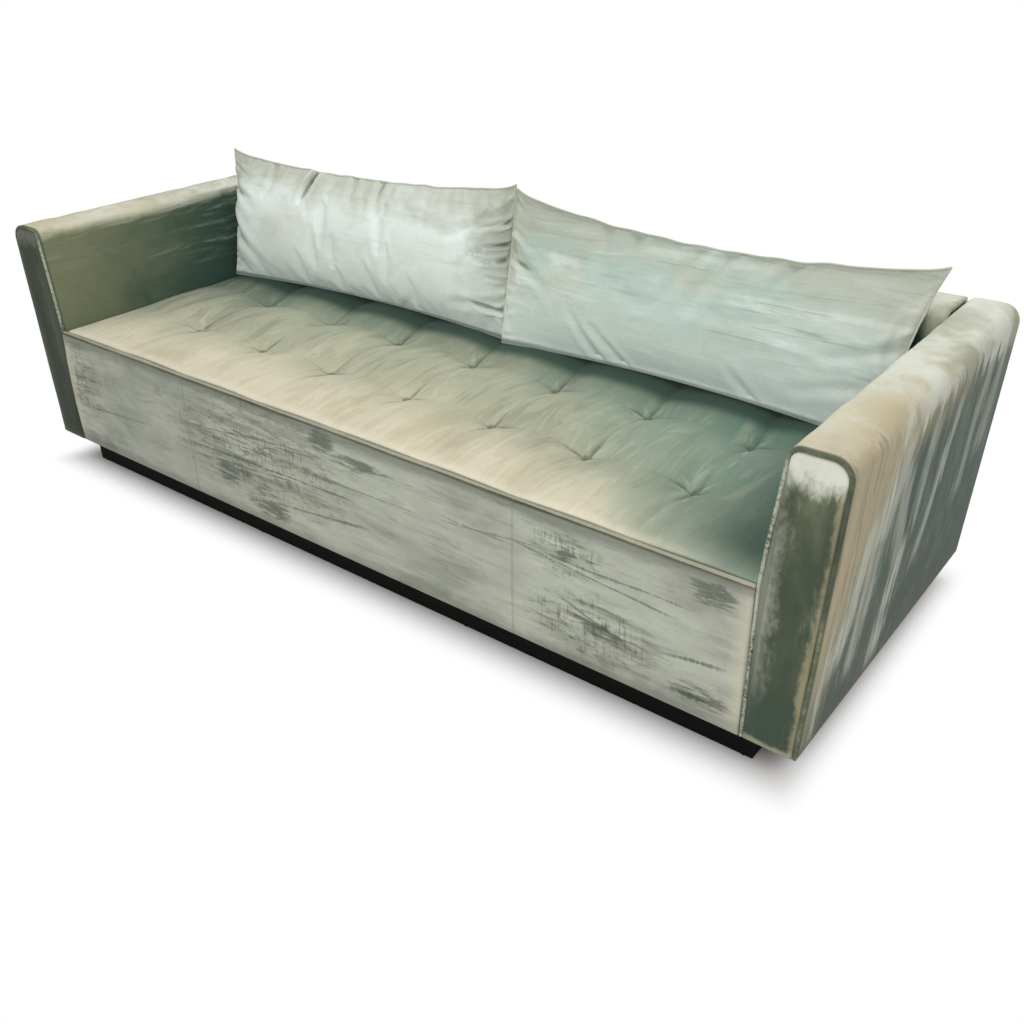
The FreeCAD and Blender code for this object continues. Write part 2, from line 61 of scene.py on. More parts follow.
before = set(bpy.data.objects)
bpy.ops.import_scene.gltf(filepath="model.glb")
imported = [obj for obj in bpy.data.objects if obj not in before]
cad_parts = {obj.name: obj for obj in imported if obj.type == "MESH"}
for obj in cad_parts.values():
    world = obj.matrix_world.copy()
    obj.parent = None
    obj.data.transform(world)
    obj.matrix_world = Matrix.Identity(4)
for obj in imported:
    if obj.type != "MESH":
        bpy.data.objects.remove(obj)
CAD_BOX = [list(corner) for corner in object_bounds()]

# Places of the solids that the velvet covers
SEAT_LOW, SEAT_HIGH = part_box("tufted_seat_top")
APRON_LOW, APRON_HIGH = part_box("front_apron")
SEAT_WELT_LOW, SEAT_WELT_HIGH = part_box("seat_front_welt")
ARM_LOW, ARM_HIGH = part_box("right_arm_cover")
FACING_LOW, FACING_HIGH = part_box("right_arm_front_facing")
ARM_WELT_LOW, ARM_WELT_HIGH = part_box("right_arm_front_welt")
BACK_LOW, BACK_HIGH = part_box("inside_back_cover")
REAR_LOW, REAR_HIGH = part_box("outside_back_cover")
DUST_LOW, DUST_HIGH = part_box("dust_cover")
CUSHION_BOXES = {side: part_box(side + "_cushion_cover") for side in ("left", "right")}

UNDERSIDE = ARM_LOW.z
BODY_TOP = ARM_HIGH.z
HALF_INNER = ARM_LOW.x
WELT_TOP = SEAT_WELT_HIGH.z
BACK_FACE = BACK_LOW.y

# Thickness of the padded covers, of the wall round their hollows, and the sides of a welt
PAD = APRON_HIGH.y - APRON_LOW.y
PAD_WALL = PAD * 0.8
WELT_SIDES = 14


def tone(code):
    """The linear colour of a six-digit screen colour."""
    parts = [int(code[at:at + 2], 16) / 255 for at in (0, 2, 4)]
    return tuple(c / 12.92 if c <= 0.04045 else ((c + 0.055) / 1.055) ** 2.4 for c in parts)


def length(name, description, default):
    """A length that a user may change, in metres."""
    return FloatProperty(name=name, description=description, default=default, unit="LENGTH", precision=4)


def dye(name, description, code):
    """A colour that a user may change."""
    return FloatVectorProperty(
        name=name, description=description, default=tone(code), subtype="COLOR", size=3, min=0.0, max=1.0
    )


class SofaSizes(bpy.types.PropertyGroup):
    """Sizes of the soft forms."""

    tuft_columns: IntProperty(name="Tuft Columns", description="Tufts along the seat", default=7, min=1)
    tuft_rows: IntProperty(name="Tuft Rows", description="Tufts from front to back", default=2, min=1)
    biscuit_crown: length("Biscuit Crown", "Crown of each biscuit above the seat edge", 0.017)
    pleat_rise: length("Pleat Rise", "Pleat midway between tufts above the seat edge", 0.005)
    tuft_drop: length("Tuft Drop", "Tuft below the seat edge", 0.027)
    tuft_bridge: length("Tuft Bridge", "Swell between two tufts of a row", 0.004)
    seat_edge_drop: length("Seat Edge Drop", "Seat edge below the top of its welt", 0.003)
    crease: length("Crease", "Depth of the sewn lines beside a tuft", 0.0030)
    pucker: length("Pucker", "Height of the small folds round a tuft", 0.0013)
    panel_seam: length("Panel Seam", "Middle of the sofa to the seams of the apron", 0.55)
    arm_thickness: length("Arm Thickness", "At the underside", 0.120)
    arm_splay: length("Arm Splay", "Outward lean of each face", 0.026)
    arm_inner_round: length("Arm Inner Round", "Radius of the top edge by the seat", 0.026)
    arm_outer_round: length("Arm Outer Round", "Radius of the outer top edge", 0.040)
    arm_waist_round: length("Arm Waist Round", "Radius where the inner face starts to lean", 0.160)
    back_round: length("Back Round", "Radius of the back's top edges", 0.026)
    cushion_thickness: length("Cushion Thickness", "At the belly", 0.168)
    cushion_end_draw: length("End Draw", "How far a cushion's end draws in between its corners", 0.016)
    cushion_bottom_draw: length("Bottom Draw", "How far its bottom seam rises between its corners", 0.009)
    cushion_seam: length("Cushion Seam", "Radius of the knife edge", 0.0026)
    cushion_wave: length("Cushion Wave", "Rise and fall of a cushion's top seam", 0.0022)
    cushion_ear: length("Cushion Ear", "Rise of its pointed corners", 0.012)


class SofaColours(bpy.types.PropertyGroup):
    """Dyes of the washed velvet, and the finishes of the frame."""

    # Ivory also paints the highlight along the seat's front lip and, with wear, over the seat's front
    ivory: dye("Ivory", "Rubbed edges", "d9d2bd")
    cream: dye("Cream", "Worn front of the seat", "d0c9b0")
    sand: dye("Sand", "Warm patches of the arms", "b8ab89")
    sage: dye("Sage", "Middle of the seat", "a5a78e")
    teal: dye("Teal", "Rear and right of the seat", "698779")
    # Bottle green also paints shade on the seat in front of the cushions and at the cushions' foot
    bottle: dye("Bottle Green", "Dark velvet of the arms", "30483d")
    # Lichen also darkens the left cushion toward its right end, partly as painted shade
    lichen: dye("Lichen", "Brushed-down velvet", "83887a")
    olive: dye("Olive", "Front of the arms and their facings", "6f7459")
    # Slate green also paints shade on the seat by the left arm
    slate: dye("Slate Green", "Dark velvet outside the arms", "3b4f40")
    # Moss also paints shade on the left facing and beside the facings' welts
    moss: dye("Moss", "Dark velvet of the facings", "3d4738")
    stone: dye("Stone", "Apron", "9fa295")
    # Ash also paints highlight on ridges and in the tufts' pale arcs
    ash: dye("Ash", "Pale bloom of worn velvet", "d6d8c9")
    # Char also paints shade in folds and creases, under the apron's welt and along the front edges of the
    # seat and arms
    char: dye("Char", "Scuffs of the apron", "4d5349")
    # Mint also paints the lower part of the cushions paler, as painted light
    mint: dye("Mint", "Left cushion", "e6efea")
    aqua: dye("Aqua", "Right cushion", "b4c8be")
    putty: dye("Putty", "Top edges of the cushions", "b3b7a7")
    plinth: dye("Plinth", "Stained plinth", "0a0805")
    timber: dye("Timber", "Frame timber", "b08d5f")


def smooth_noise(u, v, seed, waves=8, low=0.8, high=2.0):
    """A sum of sine waves with seeded directions, lengths and phases, from about -1 to 1."""
    draw = np.random.default_rng(seed)
    total = np.zeros(np.broadcast(u, v).shape)
    for _ in range(waves):
        angle, phase = draw.uniform(0, 2 * math.pi, 2)
        pace = draw.uniform(low, high) * 2 * math.pi
        total += np.sin(pace * (u * math.cos(angle) + v * math.sin(angle)) + phase)
    return total / math.sqrt(waves) / 1.4


def ease(value, low, high):
    """Smooth step from 0 at low to 1 at high."""
    t = np.clip((value - low) / (high - low), 0, 1)
    return t * t * (3 - 2 * t)


def points_at(x, y, z):
    """Points of a grid from three coordinates, each spread over the whole grid."""
    return np.stack(np.broadcast_arrays(x, y, z), -1)


def new_object(name, points, faces, material=None):
    """A smooth object at the origin whose mesh holds the points and faces, with its normals outward."""
    mesh = bpy.data.meshes.new(name)
    mesh.from_pydata(points, [], faces)
    work = bmesh.new()
    work.from_mesh(mesh)
    bmesh.ops.recalc_face_normals(work, faces=work.faces)
    work.to_mesh(mesh)
    work.free()
    mesh.shade_smooth()
    if material:
        mesh.materials.append(material)
    made = bpy.data.objects.new(name, mesh)
    bpy.context.scene.collection.objects.link(made)
    return made


def new_piece(name, points, faces, material, body="sofa"):
    """Such an object, riding on a body."""
    piece = new_object(name, points, faces, material)
    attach(piece, body)
    return piece


def relief_of(height, reach, full):
    """How far each point of a grid stands above the mean of four others, full being 1."""
    around = sum(np.roll(height, step, axis) for axis in (0, 1) for step in (-reach, reach)) / 4
    return np.clip((height - around) / full, -1, 1)


def store_fold_shading(piece, values):
    """Store how much each point lies on a ridge (above 0) or in a fold (below 0), for the velvet's painted
    highlight and painted shade.
    """
    fold_shading = piece.data.attributes.new("fold", "FLOAT", "POINT")
    fold_shading.data.foreach_set("value", np.ascontiguousarray(values, np.float32).ravel())


def quads(index):
    """Corner numbers of the quads of a grid of point numbers."""
    return np.stack([index[:-1, :-1], index[:-1, 1:], index[1:, 1:], index[1:, :-1]], -1).reshape(-1, 4)


def loft(name, rings, material, body="sofa", closed=False):
    """A skin through an array of rings (ring, point, xyz), closed to a loop or capped flat at its ends."""
    index = np.arange(rings.shape[0] * rings.shape[1]).reshape(rings.shape[:2])
    caps = [] if closed else [index[0].tolist(), index[-1].tolist()]
    if closed:
        index = np.concatenate([index, index[:1]])
    faces = quads(np.concatenate([index, index[:, :1]], 1)).tolist()
    return new_piece(name, rings.reshape(-1, 3), faces + caps, material, body)


def tube(name, path, radius, sides, material, body="sofa", closed=False):
    """A circle carried along a path: each ring stands square to it, with one axis near Y."""
    if closed:
        along = np.roll(path, -1, 0) - np.roll(path, 1, 0)
    else:
        along = np.gradient(path, axis=0)
    along /= np.linalg.norm(along, axis=1, keepdims=True)
    across = np.array([0.0, 1.0, 0.0]) - along[:, 1:2] * along
    across /= np.linalg.norm(across, axis=1, keepdims=True)
    upward = np.cross(along, across)
    angle = np.linspace(0, 2 * math.pi, sides, endpoint=False)[None, :, None]
    size = np.broadcast_to(radius, len(path))[:, None, None]
    rings = path[:, None] + size * (np.cos(angle) * across[:, None] + np.sin(angle) * upward[:, None])
    return loft(name, rings, material, body, closed)


def resample(points, count):
    """Points evenly spaced by length along an open polyline."""
    steps = np.linalg.norm(np.diff(points, axis=0), axis=1)
    at = np.concatenate([[0], np.cumsum(steps)])
    even = np.linspace(0, at[-1], count)
    return np.stack([np.interp(even, at, points[:, k]) for k in range(points.shape[1])], -1)


def rounded(corners, radii, arc_points=9):
    """An open outline whose inner corners are arcs tangent to their two sides."""
    corners = np.asarray(corners, float)
    stretches = [corners[:1]]
    for before, corner, after, radius in zip(corners, corners[1:], corners[2:], radii):
        u = (before - corner) / np.linalg.norm(before - corner)
        v = (after - corner) / np.linalg.norm(after - corner)
        half = math.acos(np.clip(u @ v, -1, 1)) / 2
        toward = (u + v) / np.linalg.norm(u + v)
        centre = corner + toward * radius / math.sin(half)
        start = corner + u * radius / math.tan(half) - centre
        end = corner + v * radius / math.tan(half) - centre
        turn = math.pi - 2 * half
        t = np.linspace(0, 1, arc_points)[:, None]
        arc = (np.sin((1 - t) * turn) * start + np.sin(t * turn) * end) / math.sin(turn)
        stretches.append(centre + arc)
    stretches.append(corners[-1:])
    return np.concatenate(stretches)


class Field:
    """A node's output over a surface; arithmetic on it adds Math nodes."""

    def __init__(self, tree, socket=None):
        self.tree = tree
        self.socket = socket

    def node(self, kind, settings, inputs, output=0):
        """Add a node: its settings are set first, then its sockets take values or links."""
        made = self.tree.nodes.new(kind)
        for name, value in settings.items():
            setattr(made, name, value)
        for name, value in inputs.items():
            if isinstance(value, Field):
                self.tree.links.new(value.socket, made.inputs[name])
            else:
                made.inputs[name].default_value = value
        return Field(self.tree, made.outputs[output])

    def math(self, operation, *others):
        """A Math node on this value and up to two others."""
        return self.node("ShaderNodeMath", {"operation": operation}, dict(enumerate((self, *others))))

    def __add__(self, other):
        return self.math("ADD", other)

    def __sub__(self, other):
        return self.math("SUBTRACT", other)

    def __rsub__(self, other):
        return self.math("MULTIPLY_ADD", -1.0, other)

    def __mul__(self, other):
        return self.math("MULTIPLY", other)

    def __abs__(self):
        return self.math("ABSOLUTE")

    __radd__ = __add__
    __rmul__ = __mul__

    def greater(self, other):
        """The greater of two values."""
        return self.math("MAXIMUM", other)

    def axes(self):
        """The three components of a vector."""
        parts = self.node("ShaderNodeSeparateXYZ", {}, {0: self}).socket.node.outputs
        return [Field(self.tree, part) for part in parts]

    def noise(self, stretch, detail=2.0, rough=0.5, bend=0.0, shift=0.0):
        """Noise from 0 to 1 over this vector, stretched alike or along each axis, and moved by a shift."""
        by_axis = {0: self, 1: tuple(np.broadcast_to(stretch, 3)), 2: (shift, shift * 0.7, shift * 1.3)}
        at = self.node("ShaderNodeVectorMath", {"operation": "MULTIPLY_ADD"}, by_axis)
        inputs = {"Vector": at, "Scale": 1.0, "Detail": detail, "Roughness": rough, "Distortion": bend}
        return self.node("ShaderNodeTexNoise", {"noise_dimensions": "3D"}, inputs)

    def sway(self, amount):
        """Noise turned into a swing about 0, the amount from its least to its most."""
        return (self - 0.5) * amount

    def ramp(self, low, high):
        """Smooth step of this value from 0 at low to 1 at high; high may be below low."""
        inputs = {"Value": self, "From Min": low, "From Max": high}
        return self.node("ShaderNodeMapRange", {"interpolation_type": "SMOOTHSTEP"}, inputs)

    def line(self, width):
        """Thin lines where this value passes its middle."""
        return abs(self - 0.5).ramp(width, width * 0.3)

    def blend(self, first, second):
        """Mix two colours: the first where this value is 0, the second where it is 1."""
        ends = [colour if isinstance(colour, Field) else (*colour, 1.0) for colour in (first, second)]
        inputs = {0: self, 6: ends[0], 7: ends[1]}
        return self.node("ShaderNodeMix", {"data_type": "RGBA", "clamp_factor": True}, inputs, 2)

    def shaded(self, brightness):
        """A colour times a brightness."""
        return self.node("ShaderNodeVectorMath", {"operation": "SCALE"}, {0: self, "Scale": brightness})


def surface(name, settings):
    """A new material with a Principled shader: its shader node and its object coordinates."""
    material = bpy.data.materials.new(name)
    material.use_nodes = True
    tree = material.node_tree
    shader = tree.nodes["Principled BSDF"]
    for socket, value in settings.items():
        shader.inputs[socket].default_value = value
    place = Field(tree).node("ShaderNodeTexCoord", {}, {}, "Object")
    return material, shader, place


def feed(shader, colour, rough, relief, strength, depth):
    """Link a colour, a roughness and a bump of a relief, with its strength and depth, to a shader."""
    bumped = relief.node("ShaderNodeBump", {}, {"Strength": strength, "Distance": depth, "Height": relief})
    for name, field in (("Base Color", colour), ("Roughness", rough), ("Normal", bumped)):
        shader.id_data.links.new(field.socket, shader.inputs[name])


def painted(colour, *coats):
    """A colour with coats laid over it in turn, each a mask from 0 to 1 and its dye."""
    for mask, coat in coats:
        colour = mask.blend(colour, coat)
    return colour


def blots(x, z, places, ragged):
    """1 inside ellipses (middle x, z, half width, half height) with ragged edges, 0 outside them."""
    total = x * 0.0
    for mid_x, mid_z, half_x, half_z in places:
        over = (x - mid_x) * (1 / half_x)
        up = (z - mid_z) * (1 / half_z)
        total = total.greater((over * over + up * up + ragged).ramp(1.6, 0.1))
    return total


def streaks(across, along, places, ragged):
    """1 along slanted lines with ragged sides and soft ends, 0 off them.

    Each place holds across and along at the line's far and near end, half its width and its strength.
    """
    total = across * 0.0
    inward, outward = 0.02, 0.05
    for far_across, far, near_across, near, half, strength in places:
        slant = (near_across - far_across) / (near - far)
        off = abs(across - far_across - (along - far) * slant) * (1 / half)
        ends = along.ramp(near - inward, near + outward) * along.ramp(far + inward, far - outward)
        total = total.greater((off + ragged).ramp(1.4, 0.2) * ends * strength)
    return total


def velvet(name, colouring):
    """Short pile with a soft sheen: its dyes, brushed darker and lighter, with painted highlight on each
    ridge and painted shade in each fold.
    """
    dyes = bpy.context.scene.sofa_colours
    settings = {"Sheen Weight": 0.12, "Sheen Roughness": 0.42, "Specular IOR Level": 0.2}
    material, shader, place = surface(name, settings)
    pile = place.noise(620.0, 2.0, 0.6)
    brushed = place.noise(16.0, 4.0, 0.62, 0.6, 3.1)
    mottle = place.noise(85.0, 3.0, 0.65, 0.0, 7.7)
    fold = place.node("ShaderNodeAttribute", {"attribute_name": "fold"}, {}, "Fac")
    level = 0.83 + brushed * 0.20 + mottle * 0.10 + pile * 0.05
    # Painted light: ash paints highlight on ridges and on the tufts' pale arcs, char paints shade in folds
    # and creases
    ridge_highlight, fold_shade = fold.ramp(0.15, 1.0), fold.ramp(-0.15, -1.0)
    colour = painted(colouring(place, dyes), (ridge_highlight * 0.40, dyes.ash), (fold_shade * 0.65, dyes.char))
    feed(shader, colour.shaded(level), 0.70 + brushed * 0.22, pile * 0.6 + mottle * 0.7, 0.32, 0.0012)
    return material


def seat_dyes(place, dyes):
    """Cream along the front, sage behind it and teal at the rear and right, brushed front to back; a
    painted highlight along the front lip, and painted shade by the left arm, in front of the cushions and
    under the welt.
    """
    x, y, _ = place.axes()
    broad = place.noise((4.0, 2.4, 3.0), 3.0, 0.55, 0.5, 1.3)
    brush = place.noise((15.0, 2.6, 6.0), 4.0, 0.62, 1.2, 4.2)
    streak = place.noise((64.0, 5.0, 12.0), 4.0, 0.65, 0.6, 2.2)
    depth = y + broad.sway(0.45) + brush.sway(0.35) + abs(x + 0.15) * 0.10
    toward_right = x + broad.sway(0.5) + y * 0.55 + brush.sway(0.35)
    front = depth.ramp(0.16, -0.1) * x.ramp(0.9, 0.5)
    # Painted highlight along the seat's front lip
    lip = (y + brush.sway(0.05)).ramp(-0.425, -0.456) * x.ramp(1.05, 0.70)
    return painted(
        dyes.cream,
        (depth.ramp(-0.40, -0.08), dyes.sage),
        (broad.ramp(0.50, 0.64) * y.ramp(-0.08, -0.34) * 0.4, dyes.sand),
        (brush.ramp(0.50, 0.34) * depth.ramp(-0.42, -0.10) * 0.42, dyes.lichen),
        (depth.ramp(-0.05, 0.30) * 0.6, dyes.teal),
        (toward_right.ramp(0.28, 0.90) * 0.8, dyes.teal),
        # Painted shade at the rear left, by the left arm and cushion
        (x.ramp(-0.62, -1.05) * y.ramp(-0.34, 0.0) * 0.6, dyes.slate),
        (brush.ramp(0.52, 0.68) * 0.26, dyes.cream),
        # Ivory strokes over the front: partly worn velvet, partly painted highlight
        (brush.ramp(0.550, 0.600) * front * 0.14, dyes.ivory),
        (brush.ramp(0.460, 0.420) * 0.14, dyes.olive),
        (streak.ramp(0.54, 0.74) * 0.14, dyes.ash),
        (streak.ramp(0.46, 0.30) * 0.12, dyes.olive),
        (x.ramp(0.80, 1.06) * y.ramp(-0.50, -0.36) * 0.9, dyes.bottle),
        # Painted shade on the seat in front of and under the cushions
        (y.ramp(-0.02, 0.15) * 0.35, dyes.bottle),
        (y.ramp(0.115, 0.165) * 0.95, dyes.bottle),
        (lip * 0.7, dyes.ivory),
        # Painted shade along the front edge, under the welt
        (y.ramp(SEAT_LOW.y + 0.006, SEAT_LOW.y + 0.001) * 0.8, dyes.char),
    )


# Scuffed and smudged places of the apron: middle x, z, half width, half height
APRON_SCUFFS = (
    (-0.28, 0.29, 0.32, 0.14),
    (0.76, 0.19, 0.15, 0.08),
    (-1.04, 0.29, 0.09, 0.14),
    (0.69, 0.35, 0.09, 0.05),
)
APRON_SMUDGES = (
    (-0.02, 0.395, 0.05, 0.035),
    (0.10, 0.372, 0.12, 0.020),
    (-0.24, 0.135, 0.09, 0.035),
    (-0.40, 0.20, 0.05, 0.04),
    (1.02, 0.390, 0.06, 0.030),
    (1.01, 0.140, 0.08, 0.035),
    (0.69, 0.352, 0.03, 0.020),
    (0.78, 0.200, 0.06, 0.020),
)

# Long thin scratches of the apron: z and x of both ends, half width, strength
APRON_LINES = (
    (0.271, 0.08, 0.248, -0.55, 0.0030, 0.9),
    (0.349, -0.15, 0.303, -0.54, 0.0022, 0.7),
    (0.208, 0.12, 0.160, -0.25, 0.0030, 0.8),
    (0.304, 0.95, 0.336, 0.55, 0.0020, 0.8),
    (0.188, 0.86, 0.247, 0.67, 0.0040, 0.8),
    (0.323, 0.55, 0.328, 0.35, 0.0020, 0.6),
    (0.256, -0.11, 0.218, -0.54, 0.0024, 0.7),
    (0.307, 0.29, 0.297, -0.04, 0.0022, 0.6),
    (0.338, 0.98, 0.335, 0.68, 0.0024, 0.7),
    (0.244, -0.73, 0.223, -0.98, 0.0026, 0.6),
    (0.235, 1.07, 0.214, 0.92, 0.0040, 0.9),
    (0.140, 1.07, 0.130, 0.93, 0.0050, 0.9),
    (0.354, 0.73, 0.315, 0.35, 0.0020, 0.6),
)


def apron_dyes(place, dyes):
    """Stone velvet with thin dark scratches along it, rows of ticks in scuffed places and smudges; painted
    shade under the welt, and darker towards the bottom.
    """
    x, _, z = place.axes()
    off_seam = abs(abs(x) - bpy.context.scene.sofa_sizes.panel_seam)
    cloud = place.noise((2.6, 1.0, 5.0), 4.0, 0.6, 0.5, 7.0)
    nap = place.noise((4.0, 1.0, 44.0), 4.0, 0.6, 0.2, 5.0)
    rows = place.noise((1.5, 1.0, 13.0), 3.0, 0.55, 0.1, 8.0)
    breaks = place.noise((9.0, 1.0, 25.0), 4.0, 0.65, 0.3, 3.0)
    ticks = place.noise((165.0, 1.0, 17.0), 3.0, 0.65, 0.1, 1.0)
    grit = place.noise((30.0, 1.0, 150.0), 4.0, 0.7, 0.3, 4.0)
    smear = place.noise((11.0, 1.0, 85.0), 5.0, 0.76, 0.5, 6.0)
    worn = blots(x, z, APRON_SCUFFS, breaks.sway(1.8) + nap.sway(1.0))
    smudge = blots(x, z, APRON_SMUDGES, breaks.sway(0.8))
    smudge = (smear + smudge * 0.24).ramp(0.62, 0.76) * (0.35 + smudge * 0.65)
    scored = streaks(z + nap.sway(0.012), x, APRON_LINES, ticks.sway(4.0) + breaks.sway(3.0))
    to_end = (abs(x) + cloud.sway(0.06)).ramp(1.055, 1.095)
    # Darker towards the bottom
    low_darkening = (z + cloud.sway(0.10) + nap.sway(0.05)).ramp(0.150, 0.088)
    # Painted shade just under the welt
    welt_shade = (z + cloud.sway(0.06) + grit.sway(0.02)).ramp(0.395, APRON_HIGH.z - 0.002)
    return painted(
        dyes.stone,
        (cloud.ramp(0.36, 0.64), dyes.putty),
        (cloud.ramp(0.50, 0.34) * 0.35, dyes.lichen),
        (nap.ramp(0.50, 0.72) * 0.26, dyes.ash),
        (nap.ramp(0.48, 0.32) * (0.22 + worn * 0.4), dyes.lichen),
        (worn * nap.ramp(0.60, 0.42) * 0.34, dyes.olive),
        (rows.line(0.018) * breaks.ramp(0.46, 0.58) * (0.20 + worn * 0.5), dyes.char),
        (ticks.ramp(0.52, 0.66) * rows.line(0.10) * worn * 0.62, dyes.char),
        (grit.ramp(0.50, 0.66) * (worn * 0.60 + 0.06), dyes.char),
        (smudge * 0.74, dyes.char),
        (scored * 0.8, dyes.char),
        (to_end * 0.5, dyes.cream),
        (low_darkening * 0.45, dyes.char),
        (welt_shade * 0.55, dyes.char),
        (off_seam.ramp(0.0045, 0.0015) * 0.2, dyes.char),
    ).shaded(0.86)


# Pale streaks outside the arms: y and z of their tops and feet, half width, strength
ARM_STREAKS = (
    (-0.190, 0.70, -0.245, 0.44, 0.046, 1.0),
    (-0.270, 0.56, -0.385, 0.22, 0.045, 0.9),
    (-0.150, 0.62, -0.095, 0.30, 0.030, 0.7),
    (-0.070, 0.40, -0.130, 0.10, 0.040, 1.0),
    (-0.240, 0.48, -0.270, 0.16, 0.035, 0.7),
    (0.120, 0.66, 0.030, 0.26, 0.020, 0.7),
    (-0.400, 0.40, -0.420, 0.09, 0.014, 0.8),
    (0.300, 0.68, 0.260, 0.32, 0.025, 0.6),
    (-0.020, 0.66, -0.030, 0.38, 0.025, 0.6),
    (0.400, 0.70, 0.370, 0.40, 0.030, 0.6),
)


def arm_dyes(place, dyes):
    """Inside, olive to bottle green with faint tide lines along the arm. Outside, sand in front, then
    dark green with pale upright streaks and threads. The top is worn pale."""
    x, y, z = place.axes()
    across = abs(x)
    middle = HALF_INNER + bpy.context.scene.sofa_sizes.arm_thickness / 2
    cloud = place.noise(5.0, 4.0, 0.62, 0.5, 1.0)
    lengthwise = place.noise((3.0, 4.0, 34.0), 4.0, 0.65, 0.6, 6.0)
    upright = place.noise((12.0, 13.0, 1.7), 5.0, 0.66, 0.8, 3.5)
    thread = place.noise((30.0, 48.0, 2.6), 4.0, 0.68, 0.6, 9.0)
    fibre = place.noise((60.0, 115.0, 3.4), 4.0, 0.7, 0.5, 2.5)
    outer_top = across.ramp(middle - 0.01, middle + 0.06) * y.ramp(0.16, -0.30)
    top = painted(
        dyes.ash,
        (cloud.ramp(0.40, 0.66), dyes.sage),
        (y.ramp(-0.26, -0.44) * 0.6, dyes.sand),
        (cloud.ramp(0.36, 0.58) * y.ramp(0.20, -0.30) * 0.7, dyes.cream),
        (outer_top * cloud.ramp(0.30, 0.56) * 0.8, dyes.sand),
    )
    rearward = y + cloud.sway(0.50) + (0.58 - z) * 0.55 + lengthwise.sway(0.12)
    tide = (z * 19.0 + cloud.sway(0.5) + lengthwise.sway(0.6)).math("FRACT").ramp(0.72, 0.97)
    tide = tide * lengthwise.ramp(0.42, 0.60) * y.ramp(-0.30, 0.10) * z.ramp(0.48, 0.58)
    inside = painted(
        dyes.olive,
        (rearward.ramp(-0.46, 0.16), dyes.bottle),
        (lengthwise.ramp(0.48, 0.70) * z.ramp(0.46, 0.68) * 0.55, dyes.lichen),
        (tide * 0.3, dyes.sage),
        ((z + cloud.sway(0.06) + lengthwise.sway(0.05)).ramp(0.684, 0.724), top),
    )
    behind = y + 0.46 - z * 0.43 + thread.sway(0.16) + upright.sway(0.26)
    shoulder = z + upright.sway(0.14) + thread.sway(0.16) + y * 0.05
    chalk = streaks(y + upright.sway(0.02), z, ARM_STREAKS, thread.sway(4.0) + cloud.sway(3.0))
    outside = painted(
        dyes.sand,
        (z.ramp(0.50, 0.16) * 0.36, dyes.olive),
        (thread.ramp(0.50, 0.38) * z.ramp(0.64, 0.50) * 0.34, dyes.moss),
        (behind.ramp(-0.14, 0.10), (cloud.ramp(0.46, 0.64) * 0.36).blend(dyes.slate, dyes.lichen)),
        (upright.ramp(0.48, 0.62) * behind.ramp(0.0, 0.10) * z.ramp(0.20, 0.44) * 0.32, dyes.teal),
        (upright.ramp(0.52, 0.40) * behind.ramp(0.02, 0.14) * 0.7, dyes.bottle),
        (thread.ramp(0.48, 0.34) * 0.35, dyes.moss),
        (z.ramp(0.36, 0.10) * behind.ramp(0.0, 0.2) * 0.5, dyes.moss),
        (chalk * (0.50 + fibre.ramp(0.42, 0.60) * 0.50) * 0.85, dyes.ash),
        (fibre.ramp(0.56, 0.68) * cloud.ramp(0.38, 0.58) * 0.5, dyes.sage),
        (fibre.ramp(0.44, 0.32) * 0.35, dyes.moss),
        (shoulder.ramp(0.58, 0.66) * y.ramp(0.40, -0.10) * 0.5, dyes.sand),
        (shoulder.ramp(0.655, 0.695), top),
    )
    return painted(
        inside,
        (across.ramp(middle + 0.02, middle + 0.05), outside),
        ((z + thread.sway(0.02)).ramp(0.112, 0.090) * 0.55, dyes.char),
        # Painted shade along the front edge, where the cover meets its facing
        (y.ramp(ARM_LOW.y + 0.007, ARM_LOW.y + 0.001) * 0.8, dyes.char),
    )


def facing_dyes(place, dyes):
    """Moss velvet, worn in broken patches along its sides and pale over its top; painted shade darkens the
    left facing and a band beside each welt.
    """
    x, _, z = place.axes()
    sizes = bpy.context.scene.sofa_sizes
    lean = sizes.arm_splay / (BODY_TOP - UNDERSIDE)
    off = abs(x) - (HALF_INNER + sizes.arm_thickness / 2) - (z - UNDERSIDE) * lean
    streak = place.noise((30.0, 4.0, 5.0), 4.0, 0.66, 0.7, 2.0)
    fleck = place.noise((95.0, 8.0, 60.0), 4.0, 0.7, 0.4, 5.0)
    cloud = place.noise((11.0, 4.0, 6.0), 3.0, 0.6, 0.5, 9.0)
    left_shade = x.ramp(0.1, -0.1)
    inner = off + streak.sway(0.06) + fleck.sway(0.04) - cloud.sway(0.08)
    outer = off + fleck.sway(0.02) + cloud.sway(0.03)
    top = z + streak.sway(0.06) + fleck.sway(0.05) + cloud.sway(0.08)
    colour = painted(
        dyes.moss,
        ((cloud * 0.8 + z * 0.4).ramp(0.46, 1.0), dyes.olive),
        (streak.ramp(0.56, 0.74) * 0.30, dyes.sage),
        (z.ramp(0.34, 0.10) * 0.35, dyes.bottle),
        (inner.ramp(-0.020, -0.056) * z.ramp(0.10, 0.40) * 0.7, dyes.stone),
        (outer.ramp(0.036, 0.050) * 0.45, dyes.sand),
        (top.ramp(0.650, 0.700) * 0.85, dyes.ash),
        ((z + fleck.sway(0.012)).ramp(0.108, 0.097) * 0.6, dyes.sage),
        # Painted shade on the left facing
        (left_shade * 0.75, dyes.moss),
    )
    # Painted shade in a band beside each welt
    beside_welt_shade = abs(off + fleck.sway(0.004)).ramp(0.0480, 0.0515) * z.ramp(0.70, 0.66)
    return painted(colour.shaded(0.94 - left_shade * 0.3), (beside_welt_shade * 0.4, dyes.moss))


